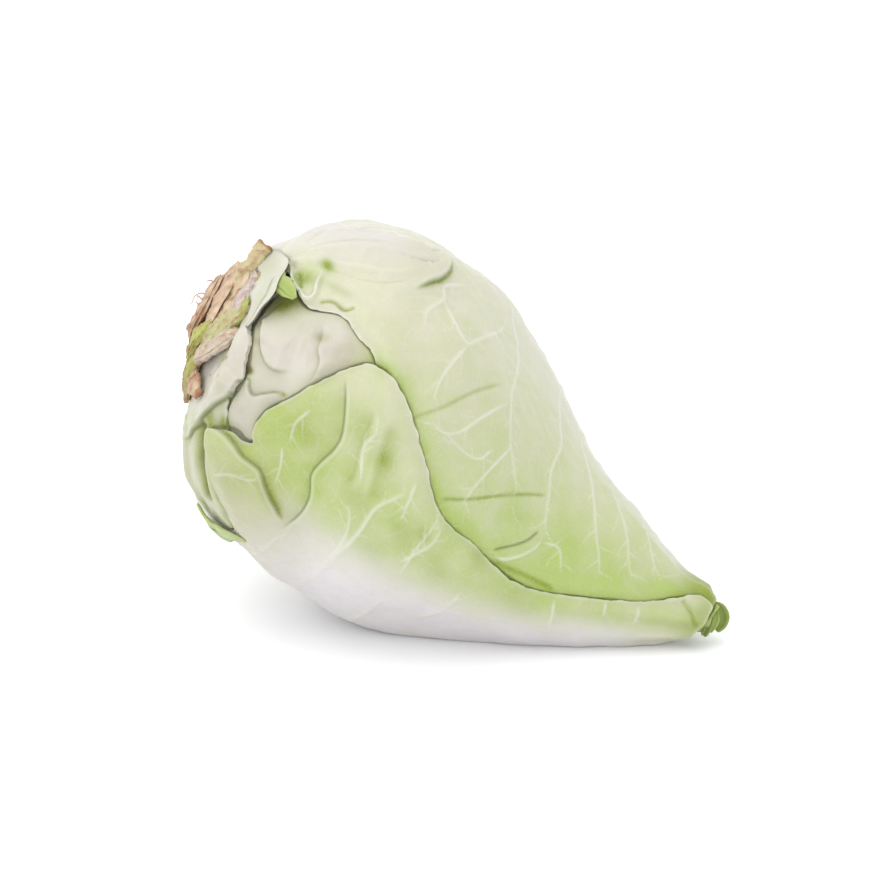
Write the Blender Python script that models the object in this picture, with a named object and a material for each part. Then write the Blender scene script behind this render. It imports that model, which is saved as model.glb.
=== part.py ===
"""A pointed cabbage, picked and lying on its side.

The head is a slanted cone with a round base. Its axis rises from the leaf tips, at +X, to the
cut stump, at -X. The tightly packed heart carries five loose leaves, one over another, and the
stump holds them all. Lengths are in metres and +Z is up.

Places on the head are given as (run, turn): run is the distance from the tip along the head's
surface, in millimetres, and turn is the angle round the axis, in degrees: 0 faces -Y, 90 is
uppermost, 180 faces +Y and 270, which is the same as -90, lies on the table.
"""

import math

import bmesh
import bpy
import numpy as np
from mathutils import Vector, geometry

MM = 0.001

# The head's axis and its outline: (distance from the tip, radius, rise of the ring's centre).
AXIS_TILT = math.radians(23.0)
TIP = np.array([115.2, -1.4, 12.15]) * MM
HEAD_PROFILE = (
    (0.0, 2.0, -2.4),
    (2.0, 5.6, -2.8),
    (6.0, 7.8, -3.4),
    (14.0, 9.9, -4.6),
    (26.0, 14.6, -6.8),
    (50.0, 27.2, -8.4),
    (62.0, 32.0, -9.5),
    (74.0, 37.5, -10.6),
    (88.0, 44.6, -9.8),
    (103.0, 53.1, -6.6),
    (118.0, 61.3, -2.9),
    (130.0, 66.8, 0.2),
    (140.0, 70.8, 3.1),
    (153.0, 73.4, 5.8),
    (174.0, 75.0, 9.8),
    (192.0, 71.7, 11.4),
    (208.0, 66.7, 10.9),
    (216.0, 61.9, 10.3),
    (222.0, 55.3, 8.6),
    (229.0, 42.7, 7.6),
    (234.0, 30.8, 10.6),
    (236.5, 22.8, 13.6),
    (237.0, 17.6, 15.0),
)

# The leaves, innermost first. An outline runs round the blade, and a rib from the tip to the stump.
LEAF_THICKNESS = 0.9 * MM
LEAF_GAP = 0.95 * MM
WRAP_DEPTH = 3.6 * MM
FACET = 10.2 * MM
FACET_TO_RADIUS = 0.33
BASE_FINER = 0.25
FLAT_RADIUS = 50.0 * MM
LEAVES = {
    "leaf_inner": {
        "outline": (
            (19, 30), (22, -20), (42, -55), (80, -66), (130, -66), (180, -66), (215, -60), (240, -52),
            (262, -42), (275, -34), (281, -12), (281, 20), (280, 45), (272, 64), (255, 80), (230, 92),
            (190, 100), (140, 104), (90, 104), (50, 100), (26, 80),
        ),
        "rib": ((30, 22), (120, 20), (200, 22), (250, 24), (281, 25)),
        "rib_height": 2.4,
        "rib_width": 13.0,
        "swells": ((224, 20, 15, 1.8), (205, 30, 14, 1.2)),
    },
    "leaf_back": {
        "outline": (
            (17, 200), (22, 150), (45, 128), (90, 122), (150, 122), (200, 128), (240, 138), (265, 152),
            (280, 170), (281, 200), (280, 228), (265, 246), (240, 262), (200, 276), (150, 284),
            (90, 286), (45, 276), (22, 250),
        ),
        "rib": ((25, 202), (80, 197), (150, 194), (220, 196), (281, 199)),
        "rib_height": 4.2,
        "rib_width": 12.0,
        "swells": ((110, 240, 16, 1.5), (190, 150, 18, 1.5)),
    },
    "leaf_collar": {
        "outline": (
            (280, 76), (262, 78), (246, 68), (238, 50), (236, 33), (233, 18), (229, 4), (224, -10),
            (221, -22), (214, -34), (204, -46), (206, -60), (226, -68), (256, -66), (277, -52),
            (281, -20), (281, 14), (281, 48),
        ),
        "rib": ((215, -44), (240, -24), (262, -2), (281, 8)),
        "rib_height": 1.8,
        "rib_width": 14.0,
        "swells": ((243, 40, 13, 2.6), (236, 10, 12, 2.4), (218, -34, 12, 1.4)),
    },
    "leaf_top": {
        "outline": (
            (18, 100), (19, 45), (32, 12), (60, -10), (100, -12), (135, 0), (160, 15), (178, 30),
            (188, 39), (198, 42), (208, 46), (222, 45), (231, 51), (242, 60), (262, 60), (279, 58),
            (281, 84), (279, 112), (262, 130), (240, 142), (200, 156), (150, 166), (90, 170),
            (45, 166), (24, 150),
        ),
        "rib": ((20, 104), (60, 110), (100, 113), (130, 111), (160, 103), (185, 88), (210, 77), (240, 74), (281, 78)),
        "rib_height": 4.6,
        "rib_width": 12.0,
        "swells": ((236, 52, 10, 3.6), (246, 128, 13, 3.0), (120, 166, 16, 2.2)),
    },
    "leaf_front": {
        "outline": (
            (27, -78), (20, -48), (18, -10), (19, 30), (22, 46), (28, 37), (36, 23), (47, 13), (59, 7), (74, 2),
            (87, 1), (98, 3), (107, 6), (118, 9), (136, 12), (151, 22), (168, 33), (180, 37), (190, 36), (198, 29),
            (209, 18), (217, 10), (223, 1), (236, -6), (241, -11), (230, -20), (224, -27), (214, -36),
            (212, -46), (228, -60), (256, -68), (279, -74), (281, -96), (279, -120), (262, -134),
            (230, -142), (180, -146), (120, -146), (60, -140), (34, -118),
        ),
        "rib": ((22, -70), (60, -86), (120, -96), (180, -98), (240, -97), (281, -96)),
        "rib_height": 2.4,
        "rib_width": 14.0,
        "swells": ((236, -12, 11, 4.0), (101, 12, 9, 2.0), (28, 34, 7, 1.4), (170, 33, 12, 1.0), (120, -142, 16, 2.4)),
    },
}
# The waves along the blades' margins.
WAVE_HEIGHT = 1.4 * MM
WAVE_WIDTH = 13.0 * MM
WAVE_LENGTH = 36.0 * MM
WAVE_COUNT = 10

# The folds that run through every layer: a line of places, a depth and a width.
FOLDS = (
    (((193, 31), (190, 20), (186, 6), (184, -10), (184, -24)), 2.6, 10.0),
    (((236, -6), (222, -6), (208, -10), (196, -16), (184, -26)), 2.2, 10.0),
    (((187, 104), (183, 92), (180, 78), (178, 64)), 1.2, 10.0),
    (((126, 12), (112, 22), (98, 40)), 1.0, 10.0),
)
# The bulge of the underside that the head rests on: run, turn, reach and height.
BELLY = (158, -98, 26, 5.0)
UNDER_REACH = 10.0 * MM
UNDER_RAMP = 24.0 * MM

# The heart's own facets, and the clearance that they need under the leaves.
HEART_ROWS = 26
HEART_SECTORS = 36
HEART_START = 9.0 * MM
HEART_CLEARANCE = 2.0 * MM

# The leaf tips, rolled together in a scroll at the point of the head.
SCROLL_BAND = 1.5 * MM
SCROLL_RADIUS = 7.0 * MM
SCROLL_TURNS = 1.45
SCROLL_STEPS = 22
SCROLL_LENGTH = 10.0 * MM
SCROLL_START = 1.5 * MM
SCROLL_SLANT = 1.5 * MM
SCROLL_RISE = -4.6 * MM

# The cut stem: (distance from the tip along the axis, radius).
STEM_PROFILE = ((233.8, 15.5), (236.0, 18.6), (240.0, 18.8), (243.0, 17.0), (246.0, 14.5), (247.2, 10.0))
STEM_SECTORS = 20
STEM_RISE = 15.0 * MM
# The stubs of the leaves cut off it: (turn, run where the stub ends, width, how far its end stands off).
STUBS = (
    (66, 250, 12, 0.5),
    (112, 274, 18, 1.0),
    (158, 268, 15, 2.0),
    (205, 274, 18, 0.5),
    (248, 270, 15, 1.0),
    (290, 280, 14, 0.3),
    (330, 281, 18, 0.5),
    (20, 280, 17, 0.3),
)
STUB_THICKNESS = 3.2 * MM
STUB_STEPS = 4
STUB_CLEARANCE = 1.1 * MM

FLOOR_SOFTNESS = 1.2 * MM


def smooth_line(points, steps):
    """A Catmull-Rom curve through the rows of points, with steps samples for each gap."""
    rows = np.asarray(points, float)
    rows = np.vstack([2 * rows[0] - rows[1], rows, 2 * rows[-1] - rows[-2]])
    share = np.linspace(0, 1, steps, endpoint=False)[:, None]
    parts = []
    for i in range(1, len(rows) - 2):
        a, b, c, d = rows[i - 1 : i + 3]
        slope = (c - a) * share
        bend = (2 * a - 5 * b + 4 * c - d) * share**2
        twist = (3 * b - a - 3 * c + d) * share**3
        parts.append(b + 0.5 * (slope + bend + twist))
    return np.vstack([*parts, rows[-2][None]])


def smooth_ring(points, steps):
    """A closed Catmull-Rom curve through the rows of points."""
    rows = np.asarray(points, float)
    return smooth_line(np.vstack([rows[-1], rows, rows[:2]]), steps)[steps : -steps - 1]


def ease(value):
    """A smooth step from 0 to 1."""
    share = np.clip(value, 0, 1)
    return share * share * (3 - 2 * share)


PATH = smooth_line(np.array(HEAD_PROFILE) * MM, 20)
RUN = np.concatenate([[0], np.cumsum(np.hypot(*np.diff(PATH[:, :2], axis=0).T))])
SLOPE = np.stack([np.gradient(PATH[:, 0], RUN), np.gradient(PATH[:, 1], RUN)], axis=1)
SLOPE /= np.linalg.norm(SLOPE, axis=1)[:, None]
HEAD_RUN = RUN[-1]
ALONG = np.array([-math.cos(AXIS_TILT), 0, math.sin(AXIS_TILT)])
UPWARD = np.array([math.sin(AXIS_TILT), 0, math.cos(AXIS_TILT)])
FRONTWARD = np.array([0, -1.0, 0])


def from_axis(axial, radius, turn, rise=0.0):
    """The point at a distance along the head's axis and a radius and turn about it."""
    up = rise + radius * np.sin(turn)
    front = radius * np.cos(turn)
    return TIP + np.multiply.outer(axial, ALONG) + np.multiply.outer(up, UPWARD) + np.multiply.outer(front, FRONTWARD)


def radius_at(run):
    return np.interp(run, RUN, PATH[:, 1])


def place(run, turn, lift):
    """The point at a place on the head, lifted off its outline by lift."""
    axial = np.interp(run, RUN, PATH[:, 0]) - lift * np.interp(run, RUN, SLOPE[:, 1])
    radius = radius_at(run) + lift * np.interp(run, RUN, SLOPE[:, 0])
    return from_axis(axial, radius, turn, np.interp(run, RUN, PATH[:, 2]))



def steps_along(line):
    """The real length of each step of a line of places, in metres."""
    run, turn = np.diff(line, axis=0).T
    return np.hypot(run, turn * radius_at((line[1:, 0] + line[:-1, 0]) / 2))


def facet_at(run):
    """How wide the facets are, finer where the head is slender and where its base curves in."""
    rounding = ease((run - 0.205) / 0.03)
    return np.minimum(FACET * (1 - BASE_FINER * rounding), FACET_TO_RADIUS * radius_at(run))


def respaced(line):
    """The line of places with its points a facet apart, without its last point."""
    facets = steps_along(line) / facet_at((line[1:, 0] + line[:-1, 0]) / 2)
    passed = np.concatenate([[0], np.cumsum(facets)])
    marks = np.linspace(0, passed[-1], round(passed[-1]), endpoint=False)
    return np.stack([np.interp(marks, passed, line[:, k]) for k in (0, 1)], axis=1)


def as_places(rows):
    """Rows of (run in mm, turn in degrees) as metres and radians."""
    return rows * (MM, math.pi / 180)


def turned_near(turn, middle):
    """The turn as the same angle nearest the middle."""
    return middle + (turn - middle + math.pi) % (2 * math.pi) - math.pi


def distance_to(line, run, turn):
    """How far each place is from a line of places, over the head's surface."""
    scale = radius_at(run)[:, None]
    start, step = line[:-1], np.diff(line, axis=0)
    ax, ay = run[:, None] - start[:, 0], (turn[:, None] - start[:, 1]) * scale
    bx, by = step[:, 0][None, :], step[:, 1][None, :] * scale
    share = np.clip((ax * bx + ay * by) / np.maximum(bx * bx + by * by, 1e-18), 0, 1)
    return np.hypot(ax - share * bx, ay - share * by).min(axis=1)


def mound(row, run, turn):
    """A round swelling of the surface, in millimetres."""
    centre, angle, reach, height = row
    across = (turn - math.radians(angle)) * radius_at(run)
    return height * np.exp(-((run - centre * MM) ** 2 + across**2) / (reach * MM) ** 2)


def lumps(run, turn):
    """The slow swells and the folds of the head, which every layer shares."""
    swell = 1.1 * np.sin(run / (31 * MM) + 2 * turn + 0.6)
    swell += 0.8 * np.sin(run / (19 * MM) - 3 * turn + 2.1)
    swell += 0.5 * np.sin(run / (47 * MM) + 5 * turn)
    swell *= ease((run - 0.012) / 0.05) * ease((HEAD_RUN - run) / 0.05)
    for rows, depth, width in FOLDS:
        line = as_places(smooth_line(rows, 6))
        away = distance_to(line, run, turned_near(turn, line[:, 1].mean()))
        swell -= depth * np.exp(-((away / (width * MM)) ** 2))
    swell += mound(BELLY, run, turned_near(turn, math.radians(BELLY[1])))
    return swell * MM


class Leaf:
    """One blade: its outline, its rib and how high it stands."""

    def __init__(self, outline, rib, rib_height, rib_width, swells):
        ring = as_places(smooth_ring(outline, 8))
        self.outline = respaced(np.vstack([ring, ring[:1]]))
        self.rib = as_places(smooth_line(rib, 8))
        self.rib_height = rib_height * MM
        self.rib_width = rib_width * MM
        self.swells = swells
        self.middle = self.outline[:, 1].mean()

    def near(self, turn):
        return turned_near(turn, self.middle)

    def depth(self, run, turn):
        """How far inside the outline each place lies, below zero outside it."""
        turn = self.near(turn)
        ring = np.vstack([self.outline, self.outline[:1]])
        (x0, y0), (x1, y1) = ring[:-1].T[:, None, :], ring[1:].T[:, None, :]
        crosses = (y0 > turn[:, None]) != (y1 > turn[:, None])
        rise = np.where(y1 == y0, 1, y1 - y0)
        left_of = run[:, None] < (x1 - x0) * (turn[:, None] - y0) / rise + x0
        inside = (crosses & left_of).sum(axis=1) % 2 == 1
        return distance_to(ring, run, turn) * np.where(inside, 1, -1)

    def rib_lift(self, run, turn):
        """How much thicker the rib makes the blade at each place."""
        away = distance_to(self.rib, run, self.near(turn))
        along = 0.12 + 0.88 * ease((run - 0.05) / 0.16) - 0.5 * ease((run - 0.26) / 0.02)
        return self.rib_height * along * np.exp(-((away / self.rib_width) ** 2))

    def stand_off(self, run, turn):
        """How far the blade stands off what it lies on, at its swells and its waved margin."""
        turn = self.near(turn)
        waves = 0.5 + 0.25 * np.sin(2 * math.pi * run / WAVE_LENGTH + self.middle) + 0.25 * np.sin(WAVE_COUNT * turn)
        lift = WAVE_HEIGHT * waves * np.exp(-((self.depth(run, turn) / WAVE_WIDTH) ** 2))
        for swell in self.swells:
            lift += mound(swell, run, turn) * MM
        return lift


def stack(leaves, run, turn):
    """The height over the heart of what lies under each leaf, then of the whole wrap."""
    heights = [np.zeros(len(run))]
    for leaf in leaves:
        covered = ease(1 + (leaf.depth(run, turn) + UNDER_REACH) / UNDER_RAMP)
        layer = leaf.stand_off(run, turn) + LEAF_THICKNESS + leaf.rib_lift(run, turn) + LEAF_GAP
        heights.append(heights[-1] + covered * layer)
    return heights


def settle(points, clearance):
    """Presses what would reach below the table flat, at its clearance over the table."""
    height = points[:, 2] - clearance
    pressed = np.where(height < FLOOR_SOFTNESS, (height + FLOOR_SOFTNESS) ** 2 / (4 * FLOOR_SOFTNESS), height)
    points[:, 2] = clearance + np.where(height < -FLOOR_SOFTNESS, 0, pressed)
    return points


def surface(run, turn, lift, wrap):
    """Points on the head at a height over the heart, where the whole wrap is wrap deep."""
    points = place(run, turn, lift - WRAP_DEPTH + lumps(run, turn))
    return settle(points, np.maximum(wrap - LEAF_GAP - lift, 0))


def lattice():
    """Places spread evenly over the whole head, in staggered rows."""
    rows = []
    run = 15 * MM
    while run < HEAD_RUN:
        sectors = round(2 * math.pi * radius_at(run) / facet_at(run))
        turns = (np.arange(sectors) + 0.5 * (len(rows) % 2)) * 2 * math.pi / sectors
        rows.append(np.stack([np.full(sectors, run), turns], axis=1))
        run += 0.87 * facet_at(run)
    return np.vstack(rows)


def blade_triangles(leaf):
    """The places of a leaf's corners and its triangles."""
    inner = lattice()
    inner[:, 1] = leaf.near(inner[:, 1])
    inner = inner[leaf.depth(*inner.T) > 0.5 * facet_at(inner[:, 0])]
    places = np.vstack([leaf.outline, inner])
    flat = [Vector((run, turn * FLAT_RADIUS)) for run, turn in places]
    margin = [list(range(len(leaf.outline)))]
    _, _, triangles, kept, _, _ = geometry.delaunay_2d_cdt(flat, [], margin, 1, 1e-7)
    return places[[source[0] for source in kept]], triangles


def add_object(name, mesh, colour, roughness):
    """An object with its own material, at the frame's origin."""
    material = bpy.data.materials.new(name)
    material.use_nodes = True
    shader = material.node_tree.nodes["Principled BSDF"]
    shader.inputs["Base Color"].default_value = (*colour, 1)
    shader.inputs["Roughness"].default_value = roughness
    mesh.materials.append(material)
    mesh.shade_smooth()
    item = bpy.data.objects.new(name, mesh)
    bpy.context.scene.collection.objects.link(item)
    return item


def mesh_from(name, points, faces):
    mesh = bpy.data.meshes.new(name)
    mesh.from_pydata([tuple(p) for p in points], [], faces)
    bm = bmesh.new()
    bm.from_mesh(mesh)
    bmesh.ops.recalc_face_normals(bm, faces=bm.faces)
    bm.to_mesh(mesh)
    bm.free()
    return mesh


def make_leaf(name, number, leaves):
    """A closed blade: its outer face, its inner face and the thin rim between them."""
    leaf = leaves[number]
    places, triangles = blade_triangles(leaf)
    run, turn = places.T
    heights = stack(leaves, run, turn)
    under = heights[number] + leaf.stand_off(run, turn)
    over = under + LEAF_THICKNESS + leaf.rib_lift(run, turn)
    outer = surface(run, turn, over, heights[-1])
    inner = surface(run, turn, under, heights[-1])
    count = len(places)
    faces = [tuple(t) for t in triangles]
    faces += [tuple(count + i for i in reversed(t)) for t in triangles]
    uses = {}
    for t in triangles:
        for a, b in zip(t, (*t[1:], t[0])):
            uses[(a, b)] = (b, a) not in uses and uses.get((a, b), True)
            if (b, a) in uses:
                uses[(a, b)] = uses[(b, a)] = False
    faces += [(b, a, count + a, count + b) for (a, b), open_edge in uses.items() if open_edge]
    return mesh_from(name, np.vstack([outer, inner]), faces)


def make_heart(leaves):
    """The packed inner leaves, as one closed body under the loose ones."""
    runs = HEART_START + (HEAD_RUN - HEART_START) * np.linspace(0, 1, HEART_ROWS)
    turns = np.arange(HEART_SECTORS) * 2 * math.pi / HEART_SECTORS
    run, turn = (grid.ravel() for grid in np.meshgrid(runs, turns, indexing="ij"))
    points = surface(run, turn, np.full(len(run), -HEART_CLEARANCE), stack(leaves, run, turn)[-1])
    faces = []
    for i in range(HEART_ROWS - 1):
        for j in range(HEART_SECTORS):
            a, b = i * HEART_SECTORS + j, i * HEART_SECTORS + (j + 1) % HEART_SECTORS
            faces.append((a, b, b + HEART_SECTORS, a + HEART_SECTORS))
    last = (HEART_ROWS - 1) * HEART_SECTORS
    ends = [points[:HEART_SECTORS].mean(axis=0), points[last:].mean(axis=0)]
    tip, base = len(points), len(points) + 1
    for j in range(HEART_SECTORS):
        k = (j + 1) % HEART_SECTORS
        faces += [(tip, k, j), (base, last + j, last + k)]
    return mesh_from("heart", np.vstack([points, ends]), faces)


def make_scroll():
    """The leaf tips rolled up together, as one closed band."""
    angles = np.linspace(0, SCROLL_TURNS * 2 * math.pi, SCROLL_STEPS)
    shrink = 1 - 0.62 * angles / angles[-1]
    rings = []
    for share, flare in ((0.0, 0.92), (0.4, 1.05), (1.0, 1.0)):
        outer = SCROLL_RADIUS * flare * shrink
        axial = SCROLL_START + SCROLL_LENGTH * share - SCROLL_SLANT * np.sin(angles) * (1 - share)
        for radius in (outer, outer - SCROLL_BAND):
            rings.append(from_axis(axial, radius, 0.6 + angles, SCROLL_RISE))
    n = SCROLL_STEPS
    faces = []
    # Each of the three sections along the axis has an outer and an inner ring.
    loops = [0, 2, 4, 5, 3, 1]
    for a, b in zip(loops, [*loops[1:], loops[0]]):
        faces += [(a * n + i, a * n + i + 1, b * n + i + 1, b * n + i) for i in range(n - 1)]
    for i in (0, n - 1):
        faces += [(i, n + i, 3 * n + i, 2 * n + i), (2 * n + i, 3 * n + i, 5 * n + i, 4 * n + i)]
    return mesh_from("leaf_tips", np.vstack(rings), faces)


def make_stem():
    """The cut stem, turned from its outline and made uneven."""
    rows = np.array(STEM_PROFILE) * MM
    turns = np.arange(STEM_SECTORS) * 2 * math.pi / STEM_SECTORS
    axial, turn = (grid.ravel() for grid in np.meshgrid(rows[:, 0], turns, indexing="ij"))
    uneven = 1 + 0.05 * np.sin(3 * turn + 1) + 0.03 * np.sin(7 * turn)
    radius = np.repeat(rows[:, 1], STEM_SECTORS) * uneven
    tilt = 1.2 * MM * np.sin(2 * turn + 0.5) * (axial > rows[3, 0])
    points = from_axis(axial + tilt, radius, turn, STEM_RISE)
    last = (len(rows) - 1) * STEM_SECTORS
    faces = []
    for i in range(len(rows) - 1):
        for j in range(STEM_SECTORS):
            a, b = i * STEM_SECTORS + j, i * STEM_SECTORS + (j + 1) % STEM_SECTORS
            faces.append((a, b, b + STEM_SECTORS, a + STEM_SECTORS))
    faces += [tuple(range(STEM_SECTORS)), tuple(range(last, last + STEM_SECTORS))]
    return mesh_from("stem", points, faces)


def make_stub(leaves, turn, end_run, width, end_lift):
    """One cut leaf stalk, a tapering slab that lies over the head from the stem."""
    share, across = (g.ravel() for g in np.meshgrid(np.linspace(0, 1, STUB_STEPS), (-1.0, -0.4, 0.4, 1.0), indexing="ij"))
    run = HEAD_RUN + (end_run * MM - HEAD_RUN) * share
    half = width * MM * (0.5 - 0.1 * share)
    turns = math.radians(turn) + across * half / radius_at(run)
    low = stack(leaves, run, turns)[-1] - WRAP_DEPTH + STUB_CLEARANCE + end_lift * MM * share**2
    high = low + STUB_THICKNESS * (1 - 0.3 * share) * (1 - 0.45 * across**2)
    points = np.vstack([place(run, turns, low), place(run, turns, high)])
    columns = 4
    layer = STUB_STEPS * columns
    faces = []
    for i in range(STUB_STEPS - 1):
        for j in range(columns - 1):
            a = i * columns + j
            quad = (a, a + 1, a + columns + 1, a + columns)
            faces += [quad, tuple(layer + k for k in reversed(quad))]
    edge = list(range(columns))
    edge += [i * columns + columns - 1 for i in range(1, STUB_STEPS)]
    edge += [(STUB_STEPS - 1) * columns + j for j in range(columns - 2, -1, -1)]
    edge += [i * columns for i in range(STUB_STEPS - 2, 0, -1)]
    faces += [(a, b, layer + b, layer + a) for a, b in zip(edge, [*edge[1:], edge[0]])]
    return mesh_from("stub", points, faces)


def join_all(item, meshes):
    """Unites the meshes with the object, in one closed body."""
    helpers = bpy.data.collections.new("helpers")
    for mesh in meshes:
        helpers.objects.link(bpy.data.objects.new(mesh.name, mesh))
    union = item.modifiers.new("union", "BOOLEAN")
    union.operation = "UNION"
    union.operand_type = "COLLECTION"
    union.collection = helpers
    bpy.context.view_layer.update()
    joined = bpy.data.meshes.new_from_object(item.evaluated_get(bpy.context.evaluated_depsgraph_get()))
    item.modifiers.remove(union)
    item.data = joined
    for helper in list(helpers.objects):
        bpy.data.objects.remove(helper)
    bpy.data.collections.remove(helpers)


def main():
    for item in list(bpy.data.objects):
        bpy.data.objects.remove(item)
    leaves = [Leaf(**row) for row in LEAVES.values()]
    heart = add_object("heart", make_heart(leaves), (0.72, 0.76, 0.5), 0.55)
    join_all(heart, [make_scroll()])
    for number, name in enumerate(LEAVES):
        add_object(name, make_leaf(name, number, leaves), (0.62, 0.7, 0.38), 0.5)
    stump = add_object("stump", make_stem(), (0.48, 0.34, 0.2), 0.85)
    join_all(stump, [make_stub(leaves, *row) for row in STUBS])


main()
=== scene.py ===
import math

import bpy
import numpy as np
from mathutils import Matrix, Vector, geometry


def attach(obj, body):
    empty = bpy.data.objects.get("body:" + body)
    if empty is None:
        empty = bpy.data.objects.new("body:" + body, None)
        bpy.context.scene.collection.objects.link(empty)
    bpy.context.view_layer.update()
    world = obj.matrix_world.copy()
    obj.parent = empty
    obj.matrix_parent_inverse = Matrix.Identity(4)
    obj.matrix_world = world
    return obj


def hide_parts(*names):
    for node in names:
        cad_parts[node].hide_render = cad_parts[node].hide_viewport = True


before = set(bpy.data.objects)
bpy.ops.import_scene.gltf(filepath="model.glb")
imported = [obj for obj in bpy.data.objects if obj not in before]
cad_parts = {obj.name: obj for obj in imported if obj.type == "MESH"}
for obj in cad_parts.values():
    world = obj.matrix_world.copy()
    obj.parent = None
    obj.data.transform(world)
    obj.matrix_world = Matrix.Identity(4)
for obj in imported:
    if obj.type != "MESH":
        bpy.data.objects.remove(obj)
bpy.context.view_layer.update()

# The looks of a pointed cabbage that lies on its side: five loose leaves over a packed heart, the
# rolled leaf tips and the cut stump. Places on the head are given as in the part itself, as
# (run, turn): run is the distance from the tip along the head's surface, in millimetres, and turn
# is the angle round its axis, in degrees, with 0 at the front and 90 on top.

MM = 0.001

# The head's axis and outline, the folds and the leaves, as in the part. A row of the outline is how
# far along the axis from the tip, the radius there, and how far its middle lies over the axis.
AXIS_TILT = math.radians(23.0)
TIP = np.array([115.2, -1.4, 12.15]) * MM
HEAD_PROFILE = (
    (0.0, 2.0, -2.4), (2.0, 5.6, -2.8), (6.0, 7.8, -3.4), (14.0, 9.9, -4.6), (26.0, 14.6, -6.8),
    (50.0, 27.2, -8.4), (62.0, 32.0, -9.5), (74.0, 37.5, -10.6), (88.0, 44.6, -9.8),
    (103.0, 53.1, -6.6), (118.0, 61.3, -2.9), (130.0, 66.8, 0.2), (140.0, 70.8, 3.1),
    (153.0, 73.4, 5.8), (174.0, 75.0, 9.8), (192.0, 71.7, 11.4), (208.0, 66.7, 10.9),
    (216.0, 61.9, 10.3), (222.0, 55.3, 8.6), (229.0, 42.7, 7.6), (234.0, 30.8, 10.6),
    (236.5, 22.8, 13.6), (237.0, 17.6, 15.0),
)
LEAF_THICKNESS = 0.9 * MM
LEAF_GAP = 0.95 * MM
WRAP_DEPTH = 3.6 * MM
WAVE_HEIGHT = 1.4 * MM
WAVE_WIDTH = 13.0 * MM
WAVE_LENGTH = 36.0 * MM
WAVE_COUNT = 10
# The folds that every layer shares: their places, how deep they are and how wide.
FOLDS = (
    (((193, 31), (190, 20), (186, 6), (184, -10), (184, -24)), 2.6, 10.0),
    (((236, -6), (222, -6), (208, -10), (196, -16), (184, -26)), 2.2, 10.0),
    (((187, 104), (183, 92), (180, 78), (178, 64)), 1.2, 10.0),
    (((126, 12), (112, 22), (98, 40)), 1.0, 10.0),
)
# The fuller belly, as its run, turn, reach and height. The leaves' swells are given in the same way.
BELLY = (158, -98, 26, 5.0)
# How far past its margin a leaf still lifts the leaves over it, and over how far that lift fades.
UNDER_REACH = 10.0 * MM
UNDER_RAMP = 24.0 * MM
FLOOR_SOFTNESS = 1.2 * MM

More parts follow.
